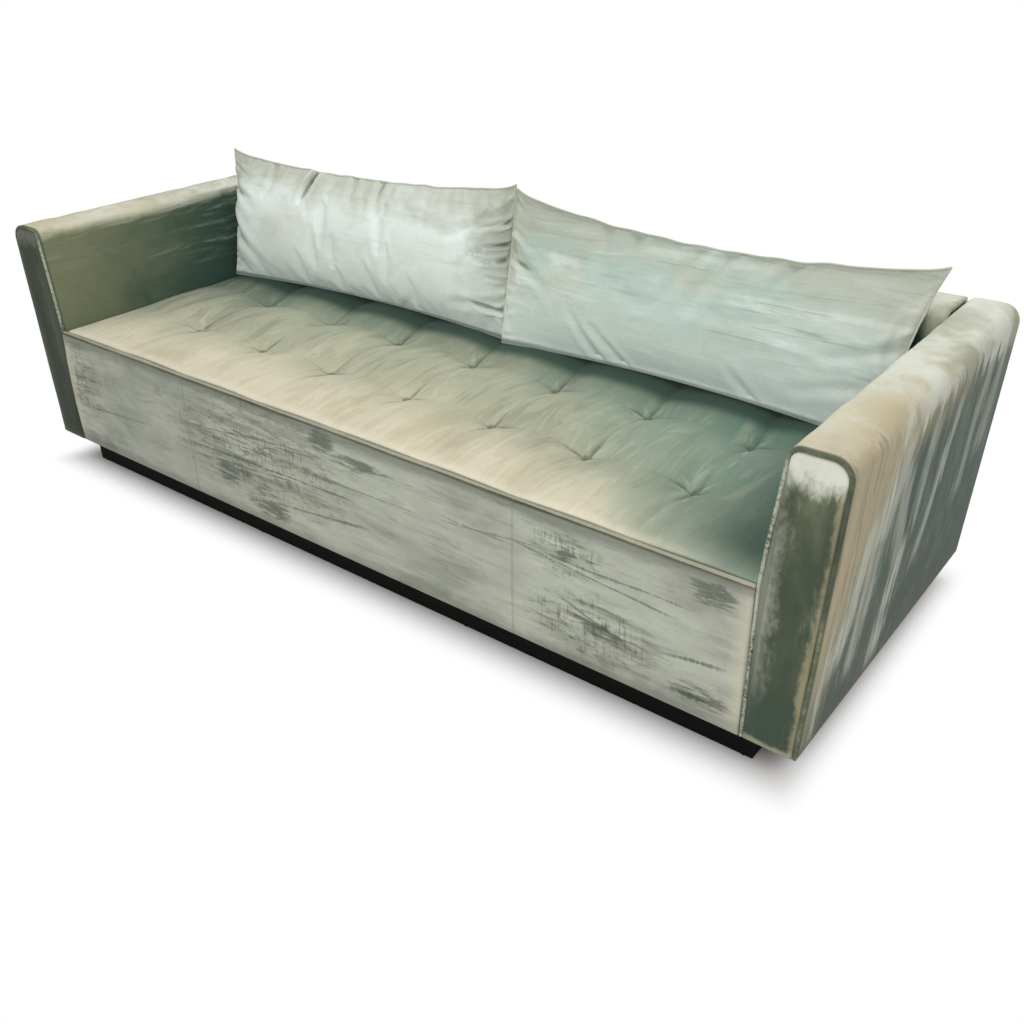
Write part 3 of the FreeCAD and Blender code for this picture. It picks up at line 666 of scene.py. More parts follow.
def welt_dyes(place, dyes):
    """Olive piping, rubbed in places, pale over the seat's front seam and up the inner edge of an arm."""
    x, _, z = place.axes()
    across = abs(x)
    patch = place.noise(6.0, 4.0, 0.65, 0.0, 4.0)
    fleck = place.noise(150.0, 3.0, 0.65, 0.0, 1.0)
    on_arm = across.ramp(HALF_INNER - 0.001, HALF_INNER)
    over_seam = (1 - on_arm) * z.ramp(WELT_TOP - 0.0050, WELT_TOP - 0.0030)
    inner = on_arm * across.ramp(HALF_INNER + 0.045, HALF_INNER + 0.030)
    worn = inner * z.ramp(0.72, 0.68) * (fleck + patch).ramp(0.80, 1.10)
    return painted(
        dyes.moss,
        (patch.ramp(0.36, 0.66) * 0.55, dyes.olive),
        ((fleck * 0.5 + patch).ramp(0.76, 0.98) * 0.35, dyes.sage),
        (over_seam * 0.45, dyes.cream),
        (worn * 0.75, dyes.putty),
    )


def piping():
    """The one velvet of every welt, made once."""
    name = "piping_velvet"
    return bpy.data.materials.get(name) or velvet(name, welt_dyes)


def back_dyes(place, dyes):
    """Slate green in upright washes with pale threads, worn pale along the top."""
    _, _, z = place.axes()
    cloud = place.noise(3.0, 4.0, 0.6, 0.5, 7.0)
    upright = place.noise((12.0, 5.0, 1.6), 5.0, 0.66, 0.8, 3.0)
    thread = place.noise((46.0, 5.0, 2.6), 4.0, 0.68, 0.6, 6.0)
    worn_top = (z + upright.sway(0.14) + thread.sway(0.08)).ramp(0.64, 0.71)
    return painted(
        dyes.slate,
        ((cloud * 0.5 + upright * 0.5).ramp(0.40, 0.60), dyes.teal),
        (upright.ramp(0.49, 0.38) * 0.6, dyes.bottle),
        (upright.ramp(0.54, 0.70) * 0.4, dyes.sage),
        (thread.ramp(0.56, 0.67) * (upright + cloud).ramp(0.88, 1.14) * 0.6, dyes.ash),
        (worn_top, cloud.ramp(0.4, 0.6).blend(dyes.ash, dyes.sage)),
        (z.ramp(0.112, 0.088) * 0.5, dyes.char),
    )


# Small rubbed places of the cushions: middle x, z, half width, half height
CUSHION_SMUDGES = {
    "left": ((-0.070, 0.672, 0.050, 0.030), (-0.060, 0.800, 0.070, 0.035)),
    "right": ((0.140, 0.835, 0.060, 0.016), (1.000, 0.560, 0.060, 0.010)),
}


def cushion_dyes(side, place, dyes):
    """Pale mint or aqua, putty along the top seam, with faint washes and scuffs; painted shade at the foot,
    painted light that makes the lower part paler and the upper part darker, and the left cushion darker
    toward its right end, partly from darker nap and partly as painted shade.
    """
    low, high = CUSHION_BOXES[side]
    if side == "left":
        ground, strength, end, end_darkening = dyes.mint, 0.35, dyes.putty, 0.55
    else:
        ground, strength, end, end_darkening = dyes.aqua, 0.9, dyes.ivory, 0.0
    x, _, z = place.axes()
    cloud = place.noise((3.6, 4.0, 5.0), 4.0, 0.6, 0.6, low.x)
    wash = place.noise((2.4, 3.0, 20.0), 4.0, 0.65, 0.8, 3.0 + low.x)
    scratch = place.noise((2.6, 5.0, 105.0), 4.0, 0.65, 0.3, 8.0 + low.x)
    spot = place.noise((30.0, 30.0, 60.0), 4.0, 0.72, 0.6, 5.0 + low.x)
    marked = blots(x, z, CUSHION_SMUDGES[side], cloud.sway(2.0) + spot.sway(2.0))
    to_end = (abs(x - (low.x + high.x) / 2) + cloud.sway(0.10)) * (2 / (high.x - low.x))
    # The left cushion darkens in patches toward its right end: partly darker nap, partly painted shade of
    # the end turning away
    rubbed = (x + spot.sway(0.10) + cloud.sway(0.20)).ramp(high.x - 0.16, high.x - 0.01)
    top = (z + cloud.sway(0.18) + wash.sway(0.08)).ramp(high.z - 0.16, high.z - 0.03)
    height = z + cloud.sway(0.2)
    upper = height.ramp(0.56, 0.80)
    colour = painted(
        ground,
        (cloud.ramp(0.44, 0.66) * 0.5, dyes.ash),
        (wash.ramp(0.50, 0.70) * (0.35 * strength), dyes.teal),
        (wash.ramp(0.48, 0.34) * (0.55 * strength), dyes.mint),
        (scratch.ramp(0.40, 0.32) * cloud.ramp(0.38, 0.54) * (0.4 * strength), dyes.slate),
        (spot.ramp(0.50, 0.60) * marked * 0.6, dyes.slate),
        (to_end.ramp(0.84, 1.0) * 0.5, end),
        (rubbed * end_darkening, dyes.lichen),
        (top * 0.8, dyes.putty),
        # Painted light: the lower part lightened toward mint
        (height.ramp(0.74, 0.52) * 0.6, dyes.mint),
        (scratch.ramp(0.58, 0.64) * upper * (0.3 * strength), dyes.lichen),
    )
    # Painted shade at the foot, against the seat, and painted light that darkens the upper part
    foot = z.ramp(WELT_TOP + 0.030, WELT_TOP + 0.018)
    return painted(colour.shaded(1.03 - upper * (0.13 * strength)), (foot * 0.65, dyes.bottle))


def darker(colour, share):
    """A colour at a share of its brightness."""
    return [part * share for part in colour]


def woven(name, code, thread, rough):
    """Plain weave: two sets of threads over and under each other."""
    material, shader, place = surface(name, {"Specular IOR Level": 0.2, "Sheen Weight": 0.1})
    x, y, _ = place.axes()
    weave = (x * thread).math("SINE") * (y * thread).math("SINE") * 0.5 + 0.5
    shade = weave * 0.35 + place.noise(30.0) * 0.4
    colour = shade.blend(darker(tone(code), 0.7), tone(code))
    feed(shader, colour, rough + shade * 0.1, weave, 0.4, 0.0006)
    return material


def grained(name, colour, along, dark, rough):
    """Timber: rings stretched along one axis, darker in the late wood, with fine pores."""
    material, shader, place = surface(name, {"Specular IOR Level": 0.1})
    ring = place.noise([3.0 if axis == along else 46.0 for axis in range(3)], 4.0, 0.6, 0.8)
    pore = place.noise([20.0 if axis == along else 420.0 for axis in range(3)], 2.0, 0.6)
    mixed = (ring * 0.7 + pore * 0.3).ramp(0.3, 0.7).blend(darker(colour, dark), colour)
    feed(shader, mixed, rough + ring * 0.2, pore, 0.2, 0.0004)
    return material


def speckled(name, code, grain, rough, metal=0.0):
    """A plain substance with fine speckle in its colour, gloss and relief."""
    material, shader, place = surface(name, {"Metallic": metal, "Specular IOR Level": 0.4})
    fleck = place.noise(grain, 3.0, 0.6)
    colour = fleck.ramp(0.3, 0.7).blend(darker(tone(code), 0.75), tone(code))
    feed(shader, colour, rough + fleck * 0.15, fleck, 0.25, 0.0005)
    return material


def edge_drift(x):
    """Slow rise and fall of the seat's front seam along the sofa."""
    return 0.0011 * np.sin(7.3 * x + 0.6) + 0.0007 * np.sin(17.0 * x + 2.0)


# Smaller forms of the seat: rise of its bays at the front, the rear and the sides, reach and number of a
# tuft's puckers, reach and width of its creases, and the waves of the whole seat and of its cloth
SEAT_EDGE_RISE = 0.003
SEAT_SIDE_RISE = 0.002
PUCKER_REACH = (0.035, 0.055)
PUCKER_COUNT = (5, 8)
CREASE_REACH = 0.085
CREASE_WIDTH = 0.004
SEAT_SWAY = 0.0022
SEAT_PULL = 0.0007


def tufts(sizes):
    """The place of each tuft, column by column."""
    columns = sizes.tuft_columns + 1
    rows = sizes.tuft_rows + 1
    for column in range(1, columns):
        for row in range(1, rows):
            x = SEAT_LOW.x + column * (SEAT_HIGH.x - SEAT_LOW.x) / columns
            yield x, SEAT_LOW.y + row * (SEAT_HIGH.y - SEAT_LOW.y) / rows


def seat_surface(x, y, sizes):
    """Height of the tufted seat above its edge.

    Along X each bay is an arch between two columns of tufts; along Y the feet and crests of the
    arches follow a half sine from one row, or edge, to the next. Each tuft adds a star of puckers
    and a cross of creases, and slow waves move the whole.
    """
    columns = sizes.tuft_columns + 1
    rows = sizes.tuft_rows + 1
    u = np.clip((x - SEAT_LOW.x) / (SEAT_HIGH.x - SEAT_LOW.x), 0, 1 - 1e-9) * columns
    v = np.clip((y - SEAT_LOW.y) / (SEAT_HIGH.y - SEAT_LOW.y), 0, 1 - 1e-9) * rows
    bay = np.floor(u)
    s = u - bay
    crown = np.sin(math.pi * (v - np.floor(v)))
    at_edge = (v < 0.5) | (v > rows - 0.5)
    foot = np.where(at_edge, 0.0, -sizes.tuft_drop)
    crest_foot = np.where(at_edge, SEAT_EDGE_RISE, sizes.tuft_bridge)
    column = foot + (sizes.pleat_rise - foot) * crown
    crest = crest_foot + (sizes.biscuit_crown - crest_foot) * crown
    side = SEAT_SIDE_RISE * crown
    left = np.where(bay == 0, side, column)
    right = np.where(bay == columns - 1, side, column)
    chord = left + (right - left) * s
    arch = 1 - np.abs(2 * s - 1) ** 2.2
    height = chord + (crest - chord) * arch
    draw = np.random.default_rng(11)
    for at_x, at_y in tufts(sizes):
        dx = x - at_x
        dy = y - at_y
        away = np.hypot(dx, dy)
        reach = draw.uniform(*PUCKER_REACH)
        folds = np.cos(draw.integers(*PUCKER_COUNT) * np.arctan2(dy, dx) + draw.uniform(0, 2 * math.pi))
        height = height + sizes.pucker * folds * (away / reach) * np.exp(1 - (away / reach) ** 1.6)
        groove = np.exp(-np.abs(dx / CREASE_WIDTH) ** 1.5) + np.exp(-np.abs(dy / CREASE_WIDTH) ** 1.5)
        height = height - sizes.crease * np.minimum(groove, 1) * np.exp(-((away / CREASE_REACH) ** 1.5))
    sway = smooth_noise(x, y, 5, low=1.0, high=3.2) * SEAT_SWAY
    pull = smooth_noise(x * 6, y * 1.2, 8, low=1.0, high=2.4) * SEAT_PULL
    return height + (sway + pull) * np.clip(crown * 1.5, 0, 1)


def tuft_shine(x, y, sizes):
    """Painted highlights: pale arcs in front of the tufts, along the rims of the biscuits, bending away to
    the right.
    """
    aside, bend, width = 0.005, 2.2, 0.006
    start, end = (0.0, 0.02), (0.125, 0.04)
    total = np.zeros(np.broadcast(x, y).shape)
    for at_x, at_y in tufts(sizes):
        ahead = at_y - y
        off = x - at_x - aside - bend * ahead * ahead
        total += np.exp(-((off / width) ** 2)) * ease(ahead, *start) * ease(ahead, *end)
    return total


class SofaPiece:
    """What the operators share: an undoable step in the sofa's panel."""

    bl_options = {"REGISTER", "UNDO"}


class SOFA_OT_seat(SofaPiece, bpy.types.Operator):
    """Build the tufted seat top"""

    bl_idname = "sofa.seat"
    bl_label = "Tufted Seat"

    columns = 481
    rows = 161
    under_rows = 9
    near_front = (0.0008, 0.002, 0.0037, 0.0075)
    front_round = 0.012
    side_round = 0.006
    drift_reach = 0.12
    # Reach and height of the relief that paints highlight on ridges and shade in creases, and the strength
    # of the tufts' painted highlights
    ridge_reach = 3
    ridge_height = 0.0042
    shine = 0.9
    side_fade = (0.0, 0.03)
    front_fade = (0.004, 0.03)

    def execute(self, context):
        sizes = context.scene.sofa_sizes
        x = np.linspace(SEAT_LOW.x, SEAT_HIGH.x, self.columns)[:, None]
        y = np.linspace(SEAT_LOW.y, SEAT_HIGH.y, self.rows)
        y = np.unique(np.concatenate([y, SEAT_LOW.y + np.array(self.near_front)]))[None, :]
        z = WELT_TOP - sizes.seat_edge_drop + seat_surface(x, y, sizes)
        to_front = y - SEAT_LOW.y
        to_side = np.minimum(np.minimum(x - SEAT_LOW.x, SEAT_HIGH.x - x), SEAT_HIGH.y - y)
        for away, radius in ((to_front, self.front_round), (to_side, self.side_round)):
            short = np.clip(radius - away, 0, radius)
            z = z - (radius - np.sqrt(radius * radius - short * short))
        z = z + edge_drift(x) * ease(to_front, self.drift_reach, 0.0)
        under_y = np.linspace(SEAT_HIGH.y, SEAT_LOW.y, self.under_rows)[None, :]
        under = points_at(x, under_y, SEAT_LOW.z)
        rings = np.concatenate([points_at(x, y, z), under], 1)
        piece = loft("seat_top", rings, velvet("seat_velvet", seat_dyes))
        # Values for painted light: highlight on ridges and on the tufts' arcs, shade in creases
        folds = relief_of(z, self.ridge_reach, self.ridge_height) + self.shine * tuft_shine(x, y, sizes)
        folds = folds * ease(to_side, *self.side_fade) * ease(to_front, *self.front_fade)
        store_fold_shading(piece, np.concatenate([folds, np.zeros(under.shape[:2])], 1))
        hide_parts("tufted_seat_top")
        return {"FINISHED"}


class SOFA_OT_apron(SofaPiece, bpy.types.Operator):
    """Build the apron under the seat's front edge and the welt along it"""

    bl_idname = "sofa.apron"
    bl_label = "Apron and Welt"

    stations = 451
    hem_rows = 6
    face_rows = 60
    lip_rows = 4
    hem = 0.007
    hem_hold = 0.05
    lip_height = 0.004
    lip_turn = 0.005
    belly = 0.0035
    slack = 0.0014
    drag = 0.0006
    seam_depth = 0.0022
    seam_width = 0.0045
    drift_reach = 0.06
    welt_stations = 700
    welt_gather = 0.035

    def panel(self, sizes):
        """A profile with a rolled hem, a flat face and a lip turned back, carried along the sofa.

        The face bellies as a half sine of its height, with slow slack, drag along it and two pressed seams.
        """
        x = np.linspace(APRON_LOW.x, APRON_HIGH.x, self.stations)[:, None]
        angle = np.linspace(0, math.pi / 2, self.hem_rows)
        hem_y = APRON_LOW.y + self.hem * (1 - np.sin(angle))
        hem_z = APRON_LOW.z + self.hem * (1 - np.cos(angle))
        face_z = np.linspace(APRON_LOW.z + self.hem, APRON_HIGH.z - self.lip_height, self.face_rows)[1:]
        face_y = np.full(len(face_z), APRON_LOW.y)
        tip = np.linspace(0, 1, self.lip_rows)[1:]
        lip_y = APRON_LOW.y + self.lip_turn * tip ** 2
        lip_z = face_z[-1] + self.lip_height * tip
        rear_z = [APRON_HIGH.z, APRON_LOW.z + self.hem, APRON_LOW.z]
        y = np.concatenate([hem_y, face_y, lip_y, [APRON_HIGH.y] * len(rear_z)])[None, :]
        z = np.concatenate([hem_z, face_z, lip_z, rear_z])[None, :]
        face = (y < APRON_LOW.y + PAD / 2) * ease(z, APRON_LOW.z, APRON_LOW.z + self.hem_hold)
        share = (z - APRON_LOW.z) / (APRON_HIGH.z - APRON_LOW.z)
        swell = self.belly * np.sin(math.pi * np.clip(share, 0, 1))
        swell = swell + self.slack * smooth_noise(x * 1.3, z * 2.0, 21, high=2.2)
        swell = swell + self.drag * smooth_noise(x * 1.5, z * 9.0, 22)
        off_seam = (np.abs(x) - sizes.panel_seam) / self.seam_width
        swell = swell - self.seam_depth * np.exp(-(off_seam ** 2))
        level = edge_drift(x) * ease(z, APRON_HIGH.z - self.drift_reach, APRON_HIGH.z)
        rings = points_at(x, y - swell * face, z + level)
        piece = loft("seat_apron", rings, velvet("apron_velvet", apron_dyes))
        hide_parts("front_apron")

    def welt(self):
        """A circle carried along the seat's front seam, gathered by a product of two sines."""
        radius = (SEAT_WELT_HIGH.z - SEAT_WELT_LOW.z) / 2
        along = np.linspace(SEAT_WELT_LOW.x, SEAT_WELT_HIGH.x, self.welt_stations)
        y = (SEAT_WELT_LOW.y + SEAT_WELT_HIGH.y) / 2 + 0.4 * edge_drift(along + 0.3)
        path = np.stack([along, y, WELT_TOP - radius + edge_drift(along)], -1)
        gather = radius * (1 + self.welt_gather * np.sin(along * 310) * np.sin(along * 23 + 1))
        welt = tube("seat_welt", path, gather, WELT_SIDES, piping())
        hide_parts("seat_front_welt")

    def execute(self, context):
        self.panel(context.scene.sofa_sizes)
        self.welt()
        return {"FINISHED"}


def arm_corners(sizes, inset):
    """The right arm's open outline from its inner foot over the top to its outer foot."""
    foot = HALF_INNER + sizes.arm_thickness
    return [
        (HALF_INNER + inset, UNDERSIDE),
        (HALF_INNER + inset, WELT_TOP),
        (HALF_INNER + sizes.arm_splay + inset, BODY_TOP - inset),
        (foot + sizes.arm_splay - inset, BODY_TOP - inset),
        (foot - inset, UNDERSIDE),
    ]


def arm_outline(sizes, inset, count):
    """Evenly spaced points of that outline, with its corners rounded."""
    least = 0.002
    rounds = [max(radius - inset, least) for radius in (sizes.arm_inner_round, sizes.arm_outer_round)]
    return resample(rounded(arm_corners(sizes, inset), [sizes.arm_waist_round, *rounds]), count)


def on_side(side, rings):
    """The rings as drawn for the right arm, or mirrored for the left one."""
    return rings * np.array([1.0 if side == "right" else -1.0, 1.0, 1.0])


class SOFA_OT_arms(SofaPiece, bpy.types.Operator):
    """Build the arm covers, their front facings and the welts round them"""

    bl_idname = "sofa.arms"
    bl_label = "Arms"

    stations = 190
    skin_count = 150
    hollow_count = 60
    rear_rings = 8
    rear_round = 0.012
    slack = 0.0018
    pucker = 0.0012
    foot_hold = (0.02, 0.12)
    front_hold = 0.06
    rear_hold = 0.05
    roll_depth = (0.05, 0.01)
    facing_rings = 16
    facing_count = 170
    facing_draw = 0.046
    facing_belly = 0.0015
    facing_dent = 0.0009
    welt_count = 420
    welt_sway = 0.0006
    welt_gather = 0.03
    cover_seeds = {"left": 37, "right": 31}
    facing_seeds = {"left": 43, "right": 41}

    def cover(self, sizes, side, material):
        """Outline carried to the rear, drawn in round the rear edge, hollow behind its padding.

        Slow waves slacken its faces, and finer ones pucker the roll along its top.
        """
        wall = ARM_HIGH.y - PAD
        straight = np.linspace(ARM_LOW.y, ARM_HIGH.y - self.rear_round, self.stations)
        outline = arm_outline(sizes, 0.0, self.skin_count)
        hollow = arm_outline(sizes, PAD_WALL, self.hollow_count)[::-1]
        floor_x = np.linspace(*hollow[[0, -1], 0], self.hollow_count)
        floor_line = np.stack([floor_x, np.full(self.hollow_count, UNDERSIDE)], -1)
        rows = [(y, outline, hollow) for y in straight[straight < wall - 0.002]]
        rows += [(wall, outline, hollow), (wall, outline, floor_line)]
        for angle in np.linspace(0, math.pi / 2, self.rear_rings):
            inset = self.rear_round * (1 - math.cos(angle))
            y = ARM_HIGH.y - self.rear_round * (1 - math.sin(angle))
            rows.append((max(y, wall), arm_outline(sizes, inset, self.skin_count), floor_line))
        flat = np.array([np.concatenate([skin, inner]) for _, skin, inner in rows])
        depth = np.array([y for y, _, _ in rows])[:, None]
        x, z = flat[..., 0], flat[..., 1]
        seed = self.cover_seeds[side]
        free = ease(z - UNDERSIDE, *self.foot_hold) * ease(depth, ARM_LOW.y, ARM_LOW.y + self.front_hold)
        free = free * ease(depth, ARM_HIGH.y, ARM_HIGH.y - self.rear_hold)
        free = free * (np.arange(flat.shape[1]) < self.skin_count)[None, :]
        outward = np.where(x > HALF_INNER + sizes.arm_thickness / 2 + 0.01, 1.0, -0.5)
        roll = ease(BODY_TOP - z, *self.roll_depth)
        slack = smooth_noise(depth * 1.6, z * 2.0, seed, high=2.2) * self.slack
        pucker = smooth_noise(depth * 7.0, x * 3.0, seed + 1) * self.pucker * roll
        rings = points_at(
            x + free * slack * outward * (1 - roll), depth, z + free * roll * (slack * 0.8 + pucker)
        )
        return loft(side + "_arm_upholstery", on_side(side, rings), material)

    def facing(self, sizes, side, material):
        """Outlines drawn in ring by ring from the board's back to its padded front, with shallow dents."""
        margin = FACING_LOW.x - HALF_INNER
        thick = FACING_HIGH.y - FACING_LOW.y
        t = np.linspace(0, 1, self.facing_rings)
        insets = np.append(0.0, self.facing_draw * t ** 1.6)
        front = FACING_LOW.y + thick * 0.55 * (1 - t) ** 3 - self.facing_belly * t
        outlines = []
        for inset, y in zip(insets, np.append(FACING_HIGH.y, front)):
            outline = arm_outline(sizes, margin + inset, self.facing_count)
            outline[:, 1] = np.maximum(outline[:, 1], UNDERSIDE + inset * 0.25)
            outlines.append(np.insert(outline, 1, y, axis=1))
        rings = np.array(outlines)
        dents = smooth_noise(rings[..., 0] * 5, rings[..., 2] * 4, self.facing_seeds[side])
        rings[..., 1] -= self.facing_dent * dents * ease(rings[..., 1], FACING_HIGH.y, FACING_LOW.y)
        return loft(side + "_arm_front", on_side(side, rings), material)

    def welt(self, sizes, side, material):
        """Piping up the inner edge of the facing, over its top and down its outer edge."""
        radius = (ARM_WELT_HIGH.y - ARM_WELT_LOW.y) / 2
        centre_y = (ARM_WELT_LOW.y + ARM_WELT_HIGH.y) / 2
        path = np.insert(arm_outline(sizes, radius, self.welt_count), 1, centre_y, axis=1)
        at = np.linspace(0, 1, len(path))
        path[:, 0] += self.welt_sway * np.sin(at * 31 + 1)
        gather = radius * (1 + self.welt_gather * np.sin(at * 420) * np.sin(at * 37))
        return tube(side + "_arm_welt", on_side(side, path), gather, WELT_SIDES, material)

    def execute(self, context):
        sizes = context.scene.sofa_sizes
        cover_finish = velvet("arm_velvet", arm_dyes)
        facing_finish = velvet("facing_velvet", facing_dyes)
        for side in ("left", "right"):
            cover = self.cover(sizes, side, cover_finish)
            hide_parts(side + "_arm_cover")
            facing = self.facing(sizes, side, facing_finish)
            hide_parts(side + "_arm_front_facing")
            welt = self.welt(sizes, side, piping())
            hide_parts(side + "_arm_front_welt")
        return {"FINISHED"}


def inner_limit(z, sizes):
    """Half the clear width between the arms at a height."""
    lean = np.clip((z - WELT_TOP) / (BODY_TOP - WELT_TOP), 0, 1)
    return SEAT_HIGH.x + sizes.arm_splay * lean


class SOFA_OT_back(SofaPiece, bpy.types.Operator):
    """Build the inside and outside covers of the back"""

    bl_idname = "sofa.back"
    bl_label = "Back"

    stations = 160
    skin_count = 120
    hollow_count = 60
    inside_slack = 0.0016
    crest_depth = 0.03
    turn_rows = 5
    face_rows = 50
    turn = 0.005
    hem_hold = 0.03
    belly = 0.003
    outside_slack = 0.0012

    def outline(self, sizes, inset, count):
        """From the foot of the front over the rounded top to the rear lip, moved in by an inset."""
        front, rear, top = BACK_LOW.y + inset, BACK_HIGH.y - inset, BODY_TOP - inset
        corners = [(front, BACK_LOW.z), (front, top), (rear, top), (rear, REAR_HIGH.z)]
        return resample(rounded(corners, [sizes.back_round - inset] * 2), count)

    def inside(self, sizes, along, finish):
        """An outer and an inner outline carried from arm to arm; slow waves slacken the outer skin."""
        hollow = self.outline(sizes, PAD_WALL, self.hollow_count)[::-1]
        loop = np.concatenate([self.outline(sizes, 0.0, self.skin_count), hollow])
        y, z = loop[None, :, 0], loop[None, :, 1]
        skin = (np.arange(len(loop)) < self.skin_count)[None, :]
        slack = smooth_noise(along * 2.4, z * 2.0 + y, 51) * self.inside_slack * skin
        crest = ease(z, BODY_TOP - self.crest_depth, BODY_TOP)
        facing = np.where(y < (BACK_LOW.y + BACK_HIGH.y) / 2, -1.0, 0.4) * (1 - crest)
        rings = points_at(along * inner_limit(z, sizes), y + slack * facing, z + slack * crest)
        piece = loft("inside_back", rings, finish)
        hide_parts("inside_back_cover")

    def outside(self, sizes, along, finish):
        """A flat panel turned in along its top and hem; it bellies as a half sine of its height."""
        angle = np.linspace(0, math.pi / 2, self.turn_rows)
        hem_y = REAR_HIGH.y - self.turn * (1 - np.sin(angle))
        hem_z = self.turn * (1 - np.cos(angle))
        face_z = np.linspace(REAR_LOW.z + self.turn, REAR_HIGH.z - self.turn, self.face_rows)[1:-1]
        face_y = np.full(len(face_z), REAR_HIGH.y)
        rear_z = [REAR_HIGH.z, REAR_LOW.z]
        y = np.concatenate([hem_y, face_y, hem_y[::-1], [REAR_LOW.y] * len(rear_z)])[None, :]
        z = np.concatenate([REAR_LOW.z + hem_z, face_z, REAR_HIGH.z - hem_z[::-1], rear_z])[None, :]
        share = (z - REAR_LOW.z) / (REAR_HIGH.z - REAR_LOW.z)
        swell = self.belly * np.sin(math.pi * share) * (1 - along ** 6)
        swell = swell + self.outside_slack * smooth_noise(along * 2.2, z * 2.0, 52)
        face = (y > REAR_LOW.y + PAD / 2) * ease(z, REAR_LOW.z, REAR_LOW.z + self.hem_hold)
        rings = points_at(along * inner_limit(z, sizes), y + swell * face, z)
        piece = loft("outside_back", rings, finish)
        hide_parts("outside_back_cover")

    def execute(self, context):
        sizes = context.scene.sofa_sizes
        finish = velvet("back_velvet", back_dyes)
        along = np.linspace(-1, 1, self.stations)[:, None]
        self.inside(sizes, along, finish)
        self.outside(sizes, along, finish)
        return {"FINISHED"}


# Loose cushions: how far the foot and the head stand ahead of the plane against the back, and the
# height, each at the left end, middle and right end; then how far the end by the arm leans out
CUSHION_FORMS = {
    "left": ((0.077, 0.020, 0.033), (0.015, -0.019, -0.025), (0.374, 0.354, 0.398), 0.004),
    "right": ((0.053, 0.023, 0.067), (-0.025, -0.024, -0.067), (0.388, 0.338, 0.366), 0.028),
}
CUSHION_BACK_GAP = 0.0029
# Folds of the front panels: start and end as shares of its half length and half height,
# then width and depth in metres
CUSHION_FOLDS = {
    "left": (
        (-0.36, 1.0, -0.40, 0.45, 0.010, 0.024),
        (-0.68, 1.0, -0.66, 0.60, 0.012, 0.007),
        (-0.08, 1.0, -0.06, 0.62, 0.011, 0.007),
        (0.12, 1.0, 0.16, 0.40, 0.013, 0.009),
        (-1.0, -0.05, -0.66, -0.80, 0.020, 0.011),
        (-1.0, 0.55, -0.72, 0.20, 0.016, 0.008),
        (1.0, 0.70, 0.58, 0.30, 0.015, 0.008),
        (1.0, -0.50, 0.62, -0.66, 0.014, 0.009),
        (0.30, -1.0, 0.44, -0.62, 0.014, 0.005),
    ),
    "right": (
        (-0.46, 1.0, -0.47, 0.30, 0.015, 0.005),
        (-0.30, 1.0, -0.33, 0.10, 0.015, 0.006),
        (0.02, 1.0, -0.12, 0.10, 0.016, 0.006),
        (0.16, 1.0, 0.00, -0.05, 0.017, 0.006),
        (0.46, 1.0, 0.36, 0.50, 0.014, 0.006),
        (-0.44, -1.0, -0.60, -0.20, 0.013, 0.008),
        (-0.30, -1.0, -0.48, -0.36, 0.012, 0.008),
        (-1.0, 0.30, -0.70, -0.10, 0.016, 0.009),
        (1.0, -0.30, 0.48, -0.72, 0.015, 0.006),
        (1.0, 0.10, 0.56, -0.24, 0.015, 0.005),
        (0.36, -1.0, 0.22, -0.50, 0.014, 0.006),
    ),
}

# Gathers of each cushion's end seams: seed, side, then their count and greatest depth at both ends
CUSHION_GATHERS = ((81, "left", (6, 0.009), (11, 0.016)), (91, "right", (8, 0.006), (4, 0.003)))

# The cushions' cloth: stiff to bend, cut a little large, pinned at its seam and gently blown up
CUSHION_CLOTH = {
    "quality": 6,
    "mass": 0.3,
    "tension_stiffness": 18,
    "compression_stiffness": 18,
    "shear_stiffness": 8,
    "bending_stiffness": 5,
    "shrink_min": -0.02,
    "use_pressure": True,
    "uniform_pressure_force": 3,
    "vertex_group_mass": "seam",
}


def through_three(values, t):
    """The parabola through values at the left end (-1), middle (0) and right end (1)."""
    left, middle, right = values
    return middle + (right - left) / 2 * t + ((left + right) / 2 - middle) * t * t


def refined(grid):
    """About twice as many points along both axes of a grid, smoothed as a cubic spline would be."""
    for axis in (0, 1):
        grid = np.moveaxis(grid, axis, 0)
        between = (grid[:-1] + grid[1:]) / 2
        fine = np.empty((len(grid) * 2 - 1, *grid.shape[1:]))
        fine[::2] = grid
        fine[1::2] = between
        fine[2:-2:2] = grid[1:-1] / 2 + (between[:-1] + between[1:]) / 4
        grid = np.moveaxis(fine, 0, axis)
    return grid


